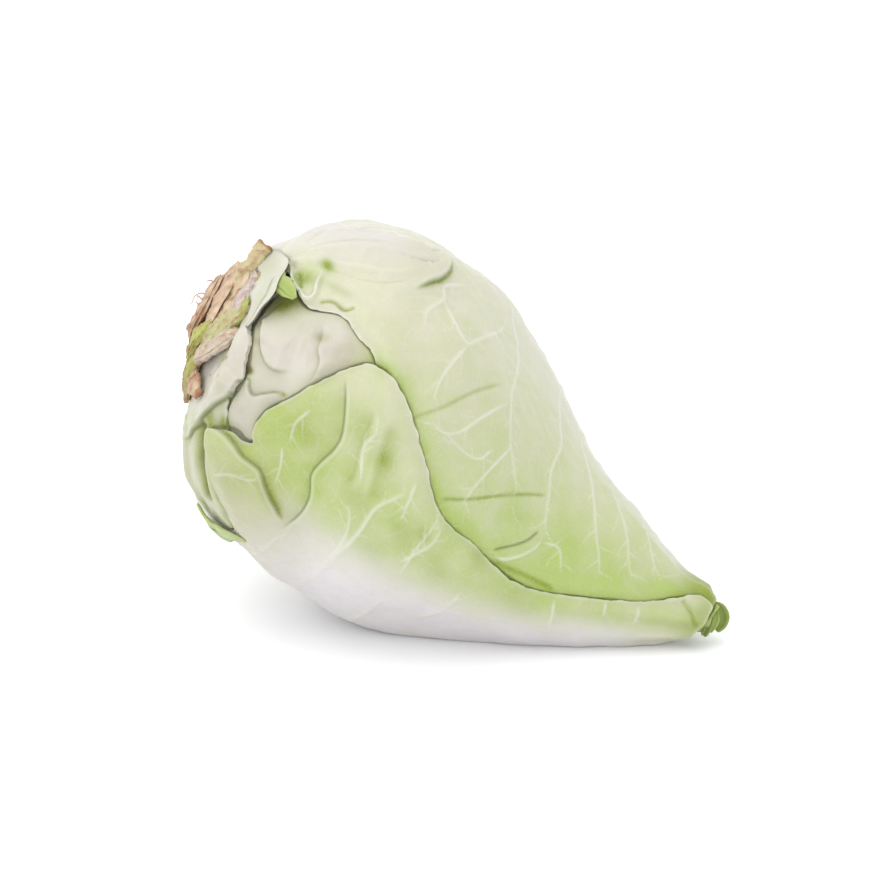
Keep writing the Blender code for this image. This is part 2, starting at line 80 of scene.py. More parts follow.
LEAVES = {
    "leaf_inner": {
        "outline": (
            (19, 30), (22, -20), (42, -55), (80, -66), (130, -66), (180, -66), (215, -60), (240, -52),
            (262, -42), (275, -34), (281, -12), (281, 20), (280, 45), (272, 64), (255, 80), (230, 92),
            (190, 100), (140, 104), (90, 104), (50, 100), (26, 80),
        ),
        "rib": ((30, 22), (120, 20), (200, 22), (250, 24), (281, 25)),
        "rib_height": 2.4,
        "rib_width": 13.0,
        "swells": ((224, 20, 15, 1.8), (205, 30, 14, 1.2)),
    },
    "leaf_back": {
        "outline": (
            (11, 200), (16, 150), (45, 128), (90, 122), (150, 122), (200, 128), (240, 138), (265, 152),
            (280, 170), (281, 200), (280, 228), (265, 246), (240, 262), (200, 276), (150, 284),
            (90, 286), (45, 276), (22, 250),
        ),
        "rib": ((25, 202), (80, 197), (150, 194), (220, 196), (281, 199)),
        "rib_height": 4.2,
        "rib_width": 12.0,
        "swells": ((110, 240, 16, 1.5), (190, 150, 18, 1.5)),
    },
    "leaf_collar": {
        "outline": (
            (280, 84), (262, 86), (248, 80), (243, 68), (241, 58), (241.5, 51), (242, 45), (242, 40),
            (241.5, 36), (240, 32), (237.5, 29), (234.5, 25), (231.5, 20), (231, 15), (232, 10),
            (235, 3), (235, -3), (230, -9), (224, -15),
            (219, -24), (213, -34), (204, -46), (206, -60), (226, -68), (256, -66), (277, -52),
            (281, -20), (281, 14), (281, 48),
        ),
        "rib": ((215, -44), (240, -24), (262, -2), (281, 8)),
        "rib_height": 1.8,
        "rib_width": 14.0,
        "swells": ((243, 40, 13, 1.2), (238, 10, 12, 1.0), (218, -34, 12, 1.2)),
    },
    "leaf_top": {
        "outline": (
            (10, 100), (9.5, 60), (10, 20), (11, -20), (16, -34), (32, -20), (60, -12), (100, -12),
            (135, 0), (160, 15), (178, 30), (188, 39), (198, 42), (208, 46), (222, 45), (231, 51),
            (240, 60), (250, 66), (264, 67), (280, 66),
            (281, 84), (279, 112), (262, 130), (240, 142), (200, 156), (150, 166), (90, 170),
            (45, 166), (24, 158), (11, 140),
        ),
        "rib": (
            (20, 104), (60, 110), (100, 113), (130, 111), (160, 103), (185, 88), (210, 77), (240, 74),
            (281, 78),
        ),
        "rib_height": 4.6,
        "rib_width": 12.0,
        "swells": ((236, 52, 10, 2.0), (246, 128, 13, 3.0), (120, 166, 16, 2.2)),
    },
    "leaf_front": {
        "outline": (
            (24, -78), (15, -50), (12, -20), (10.5, 0), (10, 20), (10.5, 42), (13, 58), (18, 61), (22, 49),
            (31, 27), (40, 14.5), (51, 8), (61, 4), (74, 1.5), (87, 1), (98, 3), (107, 6), (118, 9),
            (136, 12), (151, 22), (168, 33), (180, 37), (190, 36), (198, 29), (206, 20), (211, 14),
            (216, 9), (219, 3), (219, -2), (217.5, -5), (221, -6.5), (226, -5.5), (232, -7), (237, -10.5),
            (234, -13.5), (230, -16.5), (227, -20.5), (224, -24.5), (220, -29), (213, -36),
            (211, -46), (224, -58), (256, -68), (279, -74), (281, -96), (279, -120), (262, -134),
            (230, -142), (180, -146), (120, -146), (60, -140), (34, -118),
        ),
        "rib": ((22, -70), (60, -86), (120, -96), (180, -98), (240, -97), (281, -96)),
        "rib_height": 2.4,
        "rib_width": 14.0,
        "swells": (
            (234, -12, 10, 2.8), (101, 12, 9, 1.6), (28, 34, 7, 0.8), (170, 33, 12, 1.0),
            (120, -142, 16, 2.4),
        ),
    },
}


def smooth_line(points, steps):
    """A Catmull-Rom curve through the rows of points, with steps samples for each gap."""
    rows = np.asarray(points, float)
    rows = np.vstack([2 * rows[0] - rows[1], rows, 2 * rows[-1] - rows[-2]])
    share = np.linspace(0, 1, steps, endpoint=False)[:, None]
    parts = []
    for i in range(1, len(rows) - 2):
        a, b, c, d = rows[i - 1 : i + 3]
        slope = (c - a) * share
        bend = (2 * a - 5 * b + 4 * c - d) * share**2
        twist = (3 * b - a - 3 * c + d) * share**3
        parts.append(b + 0.5 * (slope + bend + twist))
    return np.vstack([*parts, rows[-2][None]])


def smooth_ring(points, steps):
    """A closed Catmull-Rom curve through the rows of points."""
    rows = np.asarray(points, float)
    return smooth_line(np.vstack([rows[-1], rows, rows[:2]]), steps)[steps : -steps - 1]


def ease(value):
    """A smooth step from 0 to 1."""
    share = np.clip(value, 0, 1)
    return share * share * (3 - 2 * share)


PATH = smooth_line(np.array(HEAD_PROFILE) * MM, 20)
RUN = np.concatenate([[0], np.cumsum(np.hypot(*np.diff(PATH[:, :2], axis=0).T))])
SLOPE = np.stack([np.gradient(PATH[:, 0], RUN), np.gradient(PATH[:, 1], RUN)], axis=1)
SLOPE /= np.linalg.norm(SLOPE, axis=1)[:, None]
HEAD_RUN = RUN[-1]
# How far each run is along a chart of the head on which angles are true.
RING_RADIUS = np.maximum((PATH[1:, 1] + PATH[:-1, 1]) / 2, 2 * MM)
CHART = np.concatenate([[0], np.cumsum(np.diff(RUN) / RING_RADIUS)])
ALONG = np.array([-math.cos(AXIS_TILT), 0, math.sin(AXIS_TILT)])
UPWARD = np.array([math.sin(AXIS_TILT), 0, math.cos(AXIS_TILT)])
FRONTWARD = np.array([0, -1.0, 0])


def from_axis(axial, radius, turn, rise=0.0):
    """The point at a distance along the head's axis and a radius and turn about it."""
    up = rise + radius * np.sin(turn)
    front = radius * np.cos(turn)
    outward = np.multiply.outer(up, UPWARD) + np.multiply.outer(front, FRONTWARD)
    return TIP + np.multiply.outer(axial, ALONG) + outward


def radius_at(run):
    """How far the head's surface is from its axis."""
    return np.interp(run, RUN, PATH[:, 1])


def place(run, turn, lift):
    """The point at a place on the head, lifted off its outline by lift."""
    axial = np.interp(run, RUN, PATH[:, 0]) - lift * np.interp(run, RUN, SLOPE[:, 1])
    radius = radius_at(run) + lift * np.interp(run, RUN, SLOPE[:, 0])
    return from_axis(axial, radius, turn, np.interp(run, RUN, PATH[:, 2]))


def as_places(rows):
    """Rows of (run in mm, turn in degrees) as metres and radians."""
    return np.asarray(rows, float) * (MM, math.pi / 180)


def turned_near(turn, middle):
    """The turn as the same angle nearest the middle."""
    return middle + (turn - middle + math.pi) % (2 * math.pi) - math.pi


def nearest_on(line, run, turn):
    """How far each place is from a line, on which side of it, and how far along it."""
    scale = radius_at(run)[:, None]
    start, step = line[:-1], np.diff(line, axis=0)
    ax, ay = run[:, None] - start[:, 0], (turn[:, None] - start[:, 1]) * scale
    bx, by = step[:, 0][None, :], step[:, 1][None, :] * scale
    share = np.clip((ax * bx + ay * by) / np.maximum(bx * bx + by * by, 1e-18), 0, 1)
    away = np.hypot(ax - share * bx, ay - share * by)
    best = away.argmin(axis=1)
    rows = np.arange(len(run))
    side = np.sign(bx * ay - by * ax)[rows, best]
    return away[rows, best], side, (best + share[rows, best]) / len(step)


def distance_to(line, run, turn):
    """How far each place is from a line of places, over the head's surface."""
    parts = [np.zeros(0)]
    for first in range(0, len(run), 6000):
        last = first + 6000
        parts.append(nearest_on(line, run[first:last], turn[first:last])[0])
    return np.concatenate(parts)


def mound(row, run, turn):
    """A round swelling of the surface, in millimetres."""
    centre, angle, reach, height = row
    across = (turn - math.radians(angle)) * radius_at(run)
    return height * np.exp(-((run - centre * MM) ** 2 + across**2) / (reach * MM) ** 2)


def lumps(run, turn):
    """The slow swells and the folds of the head, which every layer shares."""
    swell = 1.1 * np.sin(run / (31 * MM) + 2 * turn + 0.6)
    swell += 0.8 * np.sin(run / (19 * MM) - 3 * turn + 2.1)
    swell += 0.5 * np.sin(run / (47 * MM) + 5 * turn)
    swell *= ease((run - 0.012) / 0.05) * ease((HEAD_RUN - run) / 0.05)
    for rows, depth, width in FOLDS:
        line = as_places(smooth_line(rows, 6))
        away = distance_to(line, run, turned_near(turn, line[:, 1].mean()))
        swell -= depth * np.exp(-((away / (width * MM)) ** 2))
    swell += mound(BELLY, run, turned_near(turn, math.radians(BELLY[1])))
    return swell * MM


def inside_depth(ring, run, turn):
    """How far inside a closed line each place lies, below zero outside it."""
    closed = np.vstack([ring, ring[:1]])
    inside = np.zeros(len(run), bool)
    for (x0, y0), (x1, y1) in zip(closed[:-1], closed[1:]):
        if y0 != y1:
            crosses = (y0 > turn) != (y1 > turn)
            inside ^= crosses & (run < (x1 - x0) * (turn - y0) / (y1 - y0) + x0)
    return distance_to(closed, run, turn) * np.where(inside, 1, -1)


def leaves_over(name):
    """The leaves that lie over a leaf, innermost first."""
    names = list(LEAVES)
    return names[names.index(name) + 1 :]


class Leaf:
    """One blade: its outline, its rib and how high it stands."""

    def __init__(self, outline, rib, rib_height, rib_width, swells):
        self.outline = as_places(smooth_ring(outline, 8))
        self.rib = as_places(smooth_line(rib, 8))
        self.rib_height = rib_height * MM
        self.rib_width = rib_width * MM
        self.swells = swells
        self.middle = self.outline[:, 1].mean()

    def near(self, turn):
        return turned_near(turn, self.middle)

    def depth(self, run, turn):
        """How far inside the outline each place lies, below zero outside it."""
        return inside_depth(self.outline, run, self.near(turn))

    def rib_lift(self, run, turn):
        """How much thicker the rib makes the blade: little near the tip, and half of it at the stump."""
        away = distance_to(self.rib, run, self.near(turn))
        along = 0.12 + 0.88 * ease((run - 0.05) / 0.16) - 0.5 * ease((run - 0.26) / 0.02)
        return self.rib_height * along * np.exp(-((away / self.rib_width) ** 2))

    def waves(self, run, turn, depth):
        """How far the blade's waved margin stands off what it lies on."""
        turn = self.near(turn)
        rise = 0.5 + 0.25 * np.sin(2 * math.pi * run / WAVE_LENGTH + self.middle)
        rise += 0.25 * np.sin(WAVE_COUNT * turn)
        return WAVE_HEIGHT * rise * np.exp(-((depth / WAVE_WIDTH) ** 2))

    def swelling(self, run, turn):
        """How far the blade's swells stand off what it lies on."""
        turn = self.near(turn)
        return sum(mound(swell, run, turn) for swell in self.swells) * MM


class HeadMap:
    """A value over the whole head, kept on a fine grid and read smoothly between its points."""

    run_step = 1.5 * MM
    turns = 240

    @classmethod
    def places(cls):
        """The runs and turns of the grid's points."""
        runs = np.arange(-2, math.ceil(HEAD_RUN / cls.run_step) + 4) * cls.run_step
        turns = np.arange(cls.turns) * 2 * math.pi / cls.turns
        grid = np.meshgrid(np.clip(runs, 0, HEAD_RUN), turns, indexing="ij")
        return grid[0].ravel(), grid[1].ravel()

    def __init__(self, values):
        self.grid = values.reshape(-1, self.turns)

    def at(self, run, turn):
        """The value at each place, by Catmull-Rom curves along and round the head."""
        rows = run / self.run_step + 2
        columns = turn / (2 * math.pi) * self.turns
        total = 0
        i, j = np.floor(rows).astype(int), np.floor(columns).astype(int)
        along, across = weights(rows - i), weights(columns - j)
        for a in range(4):
            row = np.clip(i + a - 1, 0, len(self.grid) - 1)
            for b in range(4):
                total = total + along[a] * across[b] * self.grid[row, (j + b - 1) % self.turns]
        return total


def weights(share):
    """The four weights of a Catmull-Rom curve."""
    s, s2, s3 = share, share**2, share**3
    return (2 * s2 - s3 - s) / 2, (3 * s3 - 5 * s2 + 2) / 2, (4 * s2 - 3 * s3 + s) / 2, (s3 - s2) / 2


def settle(points, clearance):
    """Presses what would reach below the table flat, at its clearance over the table."""
    height = points[:, 2] - clearance
    curved = (height + FLOOR_SOFTNESS) ** 2 / (4 * FLOOR_SOFTNESS)
    pressed = np.where(height < FLOOR_SOFTNESS, curved, height)
    points[:, 2] = clearance + np.where(height < -FLOOR_SOFTNESS, 0, pressed)
    return points


class Head:
    """The head's layers: what lies under each leaf, how deep each leaf covers it, and its lumps."""

    def __init__(self):
        run, turn = HeadMap.places()
        self.leaves = {name: Leaf(**row) for name, row in LEAVES.items()}
        self.depths, self.floors, self.thickness = {}, {}, {}
        height = np.zeros(len(run))
        for name, leaf in self.leaves.items():
            depth = leaf.depth(run, turn)
            rib = leaf.rib_lift(run, turn)
            lift = leaf.waves(run, turn, depth) + leaf.swelling(run, turn)
            covered = ease(1 + (depth + UNDER_REACH) / UNDER_RAMP)
            self.depths[name] = HeadMap(depth)
            self.floors[name] = HeadMap(height)
            self.thickness[name] = HeadMap(LEAF_THICKNESS + rib)
            height = height + covered * (lift + LEAF_THICKNESS + rib + LEAF_GAP)
        self.wrap = HeadMap(height)
        self.lumps = HeadMap(lumps(run, turn))

    def exposed(self, name, run, turn, reach):
        """1 where nothing lies over the leaf, falling to 0 just inside the leaf above."""
        shown = np.ones(len(run))
        for other in leaves_over(name):
            shown *= 1 - ease((self.depths[other].at(run, turn) + reach) / reach)
        return shown

    def surface(self, run, turn, lift):
        """Points at a height over the heart, in the layers as they lie on the table."""
        points = place(run, turn, lift - WRAP_DEPTH + self.lumps.at(run, turn))
        return settle(points, np.maximum(self.wrap.at(run, turn) - LEAF_GAP - lift, 0))


def line_near(rows, run, turn, reach):
    """The places within reach of a line, and their distances, sides and shares along it."""
    line = as_places(smooth_line(rows, 5))
    turn = turned_near(turn, line[:, 1].mean())
    low, high = line.min(axis=0), line.max(axis=0)
    scale = radius_at(run)
    picked = (run > low[0] - reach) & (run < high[0] + reach)
    picked &= ((turn - low[1]) * scale > -reach) & ((turn - high[1]) * scale < reach)
    found = np.flatnonzero(picked)
    return found, *nearest_on(line, run[found], turn[found])


class Relief:
    """The fine relief of a blade at its places, in millimetres, and how much of each tint it has."""

    # Of these tints, dark is painted shade: thin shadow lines and the dark in a hole. Deep and green are the
    # leaf's own greens and also painted shade in creases, under folds and beside the leaves above. The brown
    # tint is dry brown and also painted shade over the folds of the inner leaf and the collar.
    tints = ("green", "deep", "lilac", "vein", "dry", "dark")

    def __init__(self, run, turn):
        self.run, self.turn = run, turn
        self.lift = np.zeros(len(run))
        self.amount = {tint: np.zeros(len(run)) for tint in self.tints}

    def near(self, rows, reach):
        return line_near(rows, self.run, self.turn, reach * MM)

    def vein(self, rows, width, height, strength=1.0, fade=0.6):
        """A raised pale vein, which thins towards its far end."""
        found, away, _, share = self.near(rows, 3 * width)
        thin = (1 - fade * share) * (0.55 + 0.45 * ease(share / 0.15))
        taper = ease((1 - share) / 0.2)
        self.lift[found] += height * thin * taper * np.exp(-((away / (width * MM * thin)) ** 2))
        line = strength * thin * taper * np.exp(-((away / (0.6 * width * MM * thin)) ** 2))
        self.amount["vein"][found] = np.maximum(self.amount["vein"][found], line)

    def groove(self, rows, width, depth, deep=0.5, tint="deep"):
        """A narrow furrow, with painted shade along it in a darker tint."""
        found, away, _, share = self.near(rows, 3 * width)
        shape = np.exp(-((away / (width * MM)) ** 2)) * ease(share / 0.1) * ease((1 - share) / 0.1)
        self.lift[found] -= depth * shape
        self.amount[tint][found] = np.maximum(self.amount[tint][found], deep * shape)

    def fold(self, rows, height, reach, side, edge=0.4, line=0.7, shade=0.5, spread=4.0, ends=0.15):
        """A pleat: the blade steps up by height on one side of the line, and over its reach falls away.

        The step's foot has a painted shadow line and a wider painted green shade, and its crest a painted
        pale highlight.
        Edge is half the step's width, spread is the painted shade's, and the step runs out over its ends."""
        found, away, on, share = self.near(rows, 2.2 * max(reach, spread))
        signed = away * on * side / MM
        taper = ease(share / ends) * ease((1 - share) / ends)
        step = ease(0.5 + signed / (2 * edge))
        self.lift[found] += height * taper * step * np.exp(-((np.maximum(signed, 0) / reach) ** 2))
        # Painted shade: a dark shadow line at the step's foot and deep green below it. Painted highlight: the
        # pale crest, held in the vein tint.
        foot = np.exp(-(((signed + edge) / 0.45) ** 2)) * taper
        below = np.exp(-((np.minimum(signed, 0) / spread) ** 2)) * (1 - step) * taper
        crest = np.exp(-(((signed - edge - 0.5) / 0.7) ** 2)) * taper
        pale = 0.12 + 0.6 * line
        for tint, value in (("deep", shade * below), ("dark", line * foot), ("vein", pale * crest)):
            self.amount[tint][found] = np.maximum(self.amount[tint][found], value)

    def patch(self, run, turn, along, across, lean):
        """A soft oval round a place, 1 at its middle, turned by lean from the head's length."""
        x = self.run / MM - run
        y = (turned_near(self.turn, math.radians(turn)) - math.radians(turn)) * radius_at(self.run) / MM
        lean = math.radians(lean)
        u = x * math.cos(lean) + y * math.sin(lean)
        v = y * math.cos(lean) - x * math.sin(lean)
        return np.exp(-((u / along) ** 2) - (v / across) ** 2)

    def pillow(self, run, turn, along, across, height, lean=0.0):
        """A rounded swelling, or a hollow if its height is below zero."""
        self.lift += height * self.patch(run, turn, along, across, lean)

    def stain(self, tint, run, turn, along, across, strength, lean=0.0):
        """A soft patch of a tint."""
        self.amount[tint] += strength * self.patch(run, turn, along, across, lean)

    def stains(self, tint, rows, slimness, lean=0.0):
        """Soft patches of a tint: rows of the run, the turn, the length and the strength."""
        for run, turn, length, strength in rows:
            self.stain(tint, run, turn, length, slimness * length, strength, lean)


def crumple(run, turn, size, seed):
    """A slow unevenness of about the given size in millimetres, between -1 and 1."""
    rng = np.random.default_rng(seed)
    points = place(run, turn, 0.0) / (size * MM)
    total = np.zeros(len(run))
    for _ in range(9):
        direction = rng.normal(size=3)
        direction *= 2 * math.pi * rng.uniform(0.6, 1.5) / np.linalg.norm(direction)
        total += np.sin(points @ direction + rng.uniform(0, 2 * math.pi))
    return total / 4.5


def side_veins(leaf, side, starts, seed):
    """Veins that leave the rib towards the margin, with their branches: rows of places and widths."""
    rng = np.random.default_rng(seed)
    found = []
    pending = []
    for start in starts:
        k = np.abs(leaf.rib[:, 0] - start * MM).argmin()
        pending.append((leaf.rib[k], math.radians(rng.uniform(50, 66)), 26, 1.0, True))
    while pending:
        (run, turn), heading, count, width, branches = pending.pop()
        rows = [(run, turn)]
        for i in range(count):
            stride = 3.2 * MM * min(1.0, 0.35 + run / (90 * MM))
            run = max(run - math.cos(heading) * stride, 14 * MM)
            turn += side * math.sin(heading) * stride / radius_at(run)
            heading += rng.normal(0, 0.13) - 0.018
            rows.append((run, turn))
            if branches and i % 4 == 3 and i < count - 6:
                bend = rng.uniform(0.45, 0.75) * (1 if (i // 4) % 2 else -1)
                pending.append(((run, turn), heading + bend, int(rng.uniform(4, 9)), 0.62, False))
        rows = np.array(rows)
        inside = leaf.depth(rows[:, 0], rows[:, 1]) > 1.5 * MM
        length = len(rows) if inside.all() else int(inside.argmin())
        if length > 3:
            found.append((rows[:length] / (MM, math.pi / 180), width))
    return found


def twigs(rows, seed):
    """Fine branches on both sides of a vein: rows of places."""
    rng = np.random.default_rng(seed)
    line = as_places(smooth_line(rows, 4))
    found = []
    for k in range(2, len(line) - 2, 2):
        run, turn = line[k]
        ahead = line[k + 1] - line[k]
        bend = rng.uniform(0.6, 1.0) * (1 if len(found) % 2 else -1)
        heading = math.atan2(ahead[1] * radius_at(run), ahead[0]) + bend
        places = [(run, turn)]
        for _ in range(int(rng.uniform(3, 7))):
            run += 2.0 * MM * math.cos(heading)
            turn += 2.0 * MM * math.sin(heading) / radius_at(run)
            heading += rng.normal(0, 0.2)
            places.append((run, turn))
        found.append(np.array(places) / (MM, math.pi / 180))
    return found


def traced_veins(relief, veins, seed):
    """Veins seen in the photograph, with fine branches."""
    for number, (rows, width, height) in enumerate(veins):
        relief.vein(rows, 1.1 * width, height, 1.0, 0.4)
        for branch in twigs(rows, seed + number):
            relief.vein(branch, 0.7, 0.22, 0.6)


# The strong veins of the front and the top leaf: rows of places, then width and height in millimetres.
FRONT_VEINS = (
    (((177, -53), (170, -28), (164, -11), (162, 1), (158, 7), (152, 15)), 1.5, 0.7),
    (((152, -60), (146, -48), (142, -33)), 1.5, 0.7),
    (((143, -11), (139, -5), (135, 2), (134, 12)), 1.2, 0.5),
    (((125, -44), (119, -33), (116, -18), (114, -14)), 1.4, 0.6),
    (((172, 7), (176, 14), (176, 18), (173, 23)), 1.0, 0.5),
    (((202, -61), (194, -34), (190, -30)), 1.2, 0.5),
    (((224, -20), (219, -17), (212, -16), (207, -13)), 1.0, 0.4),
    (((205, 0), (203, -7), (202, -14)), 0.9, 0.35),
    (((171, -28), (168, -16), (169, -8), (173, -2)), 1.0, 0.4),
    (((153, 16), (152, 8), (151, 2)), 0.9, 0.35),
    (((201, 15), (204, 9), (203, 2)), 0.9, 0.35),
    (((75, -3), (73, -17), (72, -27)), 1.0, 0.45),
    (((54, 4), (53, -10)), 0.9, 0.35),
    (((40, 8), (39, -14)), 0.9, 0.35),
    (((141, -16), (140, -4), (138, 7), (137, 12)), 0.8, 0.3),
)
TOP_VEINS = (
    (((155, 104), (148, 99), (140, 93), (135, 80), (133, 68), (128, 60), (123, 53), (116, 47), (110, 40),
      (107, 28)), 1.1, 0.45),
    (((118, 108), (110, 95), (103, 84), (101, 66), (96, 54), (92, 42), (88, 29)), 1.1, 0.45),
    (((88, 29), (81, 30), (76, 13)), 0.8, 0.3),
    (((98, 104), (89, 94), (80, 78), (71, 56), (64, 36), (60, 18)), 1.0, 0.4),
    (((74, 98), (65, 82), (57, 64), (52, 48), (46, 28)), 0.9, 0.35),
    (((56, 106), (49, 82), (41, 62), (34, 48)), 0.8, 0.3),
    (((122, 52), (125, 41), (129, 27), (130, 18)), 1.0, 0.4),
    (((175, 72), (168, 67), (160, 64), (157, 68), (152, 80), (150, 90), (153, 102)), 1.2, 0.6),
    (((129, 44), (135, 36), (157, 35)), 0.8, 0.3),
    (((172, 85), (178, 78), (176, 72), (179, 63), (176, 57)), 1.2, 0.6),
    (((159, 63), (161, 54), (162, 46), (160, 37)), 1.0, 0.45),
    (((133, 63), (141, 47), (146, 38), (153, 34), (159, 35)), 0.9, 0.4),
)


def relief_of_front(relief, leaf):
    """The big veins, the pleats and the pleat like a V, and the green hollows."""
    traced_veins(relief, FRONT_VEINS, 100)
    for side, starts in ((1, range(60, 275, 22)), (-1, range(50, 275, 18))):
        for rows, width in side_veins(leaf, side, starts, 5 + side):
            if side < 0 or rows[:, 1].max() < -50:
                relief.vein(rows, 1.3 * width, 0.5 * width)
    crease = (
        (195, 30), (190, 23), (186, 15), (186, 9), (189, 2), (190, -3), (187, -10), (188, -19), (193, -29),
    )
    relief.fold(crease, 0.9, 12, -1, edge=0.35, line=0.6, shade=0.28, spread=3.5, ends=0.12)
    pleat = (
        (239, -10), (235, -8), (229, -7), (224, -8), (219, -10), (213, -11), (209, -12), (204, -16),
        (198, -20), (192, -25),
    )
    relief.fold(pleat, 1.3, 12, 1, edge=0.35, line=0.6, shade=0.6, spread=2.2, ends=0.1)
    dents = (
        (((178, 27), (177, 20), (176, 13), (174, 6), (176, 1)), 1.0, -1, 1.4, 0.1, 0.35),
        (((172, 26), (170, 18), (168, 10), (166, 2)), 0.8, 1, 1.6, 0.0, 0.4),
    )
    for rows, height, side, edge, line, shade in dents:
        relief.fold(rows, height, 8, side, edge, line, shade, spread=5)
    for cushion in (
        (206, -6, 9, 7, -1.2, 60), (226, -22, 10, 9, 1.6), (160, -20, 26, 20, 1.0), (150, 8, 14, 9, 0.8),
        (176, 32, 8, 6, 0.8), (120, -12, 16, 12, 0.9), (228, -3, 4, 3, -1.0),
    ):
        relief.pillow(*cushion)
    # Painted green shade in the valley of the V.
    relief.stain("deep", 202, -17, 8, 2.6, 0.6, 35)
    hollows = (
        (148, -1, 7, 0.35), (168, 16, 6, 0.4), (112, 6, 8, 0.4), (170, 0, 7, 0.35), (140, 3, 4, 0.5),
        (180, 20, 6, 0.3), (128, -8, 8, 0.25), (158, -12, 9, 0.2), (90, -6, 9, 0.25), (200, 8, 7, 0.3),
    )
    relief.stains("deep", hollows, 0.7, 30)
    relief.groove(((24, 40), (21, 31), (18, 21), (15, 7), (12, -3)), 0.7, 0.5, 0.6)
    # Painted green shade in the small dent beside the pleat's end.
    relief.stain("deep", 229, -3.5, 3.5, 2.0, 0.9)


def relief_of_top(relief, leaf):
    """The veins, the ribs that meet at the base, the creases and the curled folds."""
    traced_veins(relief, TOP_VEINS, 200)
    for rows, width in side_veins(leaf, 1, range(50, 275, 17), 11):
        relief.vein(rows, 1.1 * width, 0.4 * width, 0.8)
    for rows, width, height in (
        (((262, 66), (244, 67), (239, 74), (233, 91), (227, 101), (205, 108)), 3.4, 1.3),
        (((262, 60), (237, 62), (226, 64), (215, 65), (199, 68), (187, 76)), 2.6, 1.1),
        (((240, 64), (223, 71), (208, 75), (194, 78), (184, 84)), 2.2, 0.8),
        (((232, 78), (216, 88), (200, 94), (190, 98)), 2.2, 0.7),
    ):
        relief.vein(rows, width, height, 0.25, 0.3)
    # The creases, each darkened along its length with painted shade in green, deep green or dark.
    for rows, width, depth, strength, tint in (
        (((250, 63), (238, 65), (232, 68), (223, 73), (216, 76), (204, 79)), 0.7, 0.5, 0.6, "green"),
        (((236, 70), (230, 80), (222, 90), (212, 97)), 0.8, 0.5, 0.5, "green"),
        (((228, 62), (214, 61), (200, 63), (192, 68)), 0.7, 0.3, 0.35, "green"),
        (((166, 30), (160, 36), (155, 42), (148, 53), (138, 68)), 0.7, 0.3, 0.5, "deep"),
        (((141, 16), (127, 24), (111, 38), (96, 54)), 0.7, 0.35, 0.9, "deep"),
        (((109, 11), (102, 17), (96, 24), (92, 34)), 0.5, 0.5, 0.7, "dark"),
        (((108, 7), (101, 7), (91, 7), (84, 6), (76, 4)), 1.1, 0.8, 0.8, "deep"),
    ):
        relief.groove(rows, width, depth, strength, tint)
    # A hooked fold, with a painted dark green shadow at its foot.
    hook = ((190, 84), (187, 87), (184, 89), (181, 87), (180, 84), (181, 79), (185, 72), (188, 67))
    relief.fold(hook, 1.8, 14, 1, edge=0.5, line=0.6, shade=1.0, spread=1.6, ends=0.2)
    relief.vein(((107, 9), (101, 11), (95, 17), (91, 24), (89, 33)), 1.3, 0.9, 1.0, 0.5)
    curl_at_base(relief)
    # Painted green shade beside the curl and in the crease below it.
    relief.stain("deep", 223, 62, 3.0, 2.2, 1.0, 40)
    relief.stain("deep", 214, 54, 6, 2.4, 0.4, 10)
    relief.groove(((219, 47), (214, 49), (208, 48), (204, 50)), 0.7, 0.6, 0.8)
    relief.stain("lilac", 212, 80, 30, 16, 0.4)
    relief.stain("dry", 212, 80, 30, 14, 0.14)


def curl_at_base(relief):
    """The pale edge of the upper leaf that curls back over a hollow near the stem, with painted green shade
    in the hollow.
    """
    curl = ((239, 62), (233, 53), (228, 49), (224, 47), (221.5, 49), (223, 54), (224, 61))
    relief.vein(curl, 0.95, 2.0, 1.0, 0.0)
    relief.stain("green", 229, 56, 7, 7, 1.6)
    relief.stain("deep", 230, 55, 5, 3, 1.0)
    relief.pillow(229, 54, 5, 3.5, -1.4)
    relief.groove(((234, 57), (231, 54), (228, 50)), 0.8, 1.0, 0.9)


def relief_of_inner(relief, leaf):
    """The cushions and folds in the notch, with painted shade in its olive hollow, its dent and its small
    dark hole.
    """
    for rows, height, reach, side, edge, line, spread, ends in (
        (((240, 36), (236, 34), (231, 27), (225, 22), (220, 21), (214, 23)),
         2.4, 8, -1, 0.6, 0.3, 3.0, 0.2),
        (((214, 42), (211, 37), (209, 32), (206, 29), (205, 25), (207, 19)),
         2.0, 7, -1, 0.7, 0.15, 2.5, 0.25),
        (((234, 12), (229, 14), (228, 12), (225, 10), (221, 12), (217, 14), (214, 15)),
         1.8, 7, 1, 0.4, 0.5, 2.0, 0.12),
    ):
        relief.fold(rows, height, reach, side, edge, line, 0.2, spread, ends)
    for cushion in (
        (222, 36, 7, 8, 1.6), (203, 36, 6, 7, 1.2), (200, 27, 6, 5, 0.9), (214, 23, 7, 4, 0.9),
        (210, 36.5, 2.6, 3.4, -1.6, 80), (237, 45, 5, 6, 0.6), (216, 30, 6, 1.2, 0.35, 80),
        (211, 27, 6, 1.2, 0.35, 70), (199, 33, 6, 1.2, 0.35, 80), (196, 30, 6, 1.2, 0.35, 75),
        (231, 17, 2.0, 1.4, -1.5),
    ):
        relief.pillow(*cushion)
    # Painted shade: the deep and green patches in the hollow, the dent and the end of a crease, and the dark
    # with brown in the hole.
    for stain in (
        ("deep", 210, 36.5, 2.2, 3.6, 0.4, 80), ("deep", 235, 45, 8, 8, 1.1), ("green", 226, 40, 7, 9, 0.6),
        ("dry", 233, 27, 5, 1.6, 0.25), ("deep", 213.5, 15, 1.5, 1.0, 0.9), ("dark", 231, 17, 1.9, 1.3, 3.0),
        ("dry", 231, 17, 1.6, 1.0, 0.6),
    ):
        relief.stain(*stain)


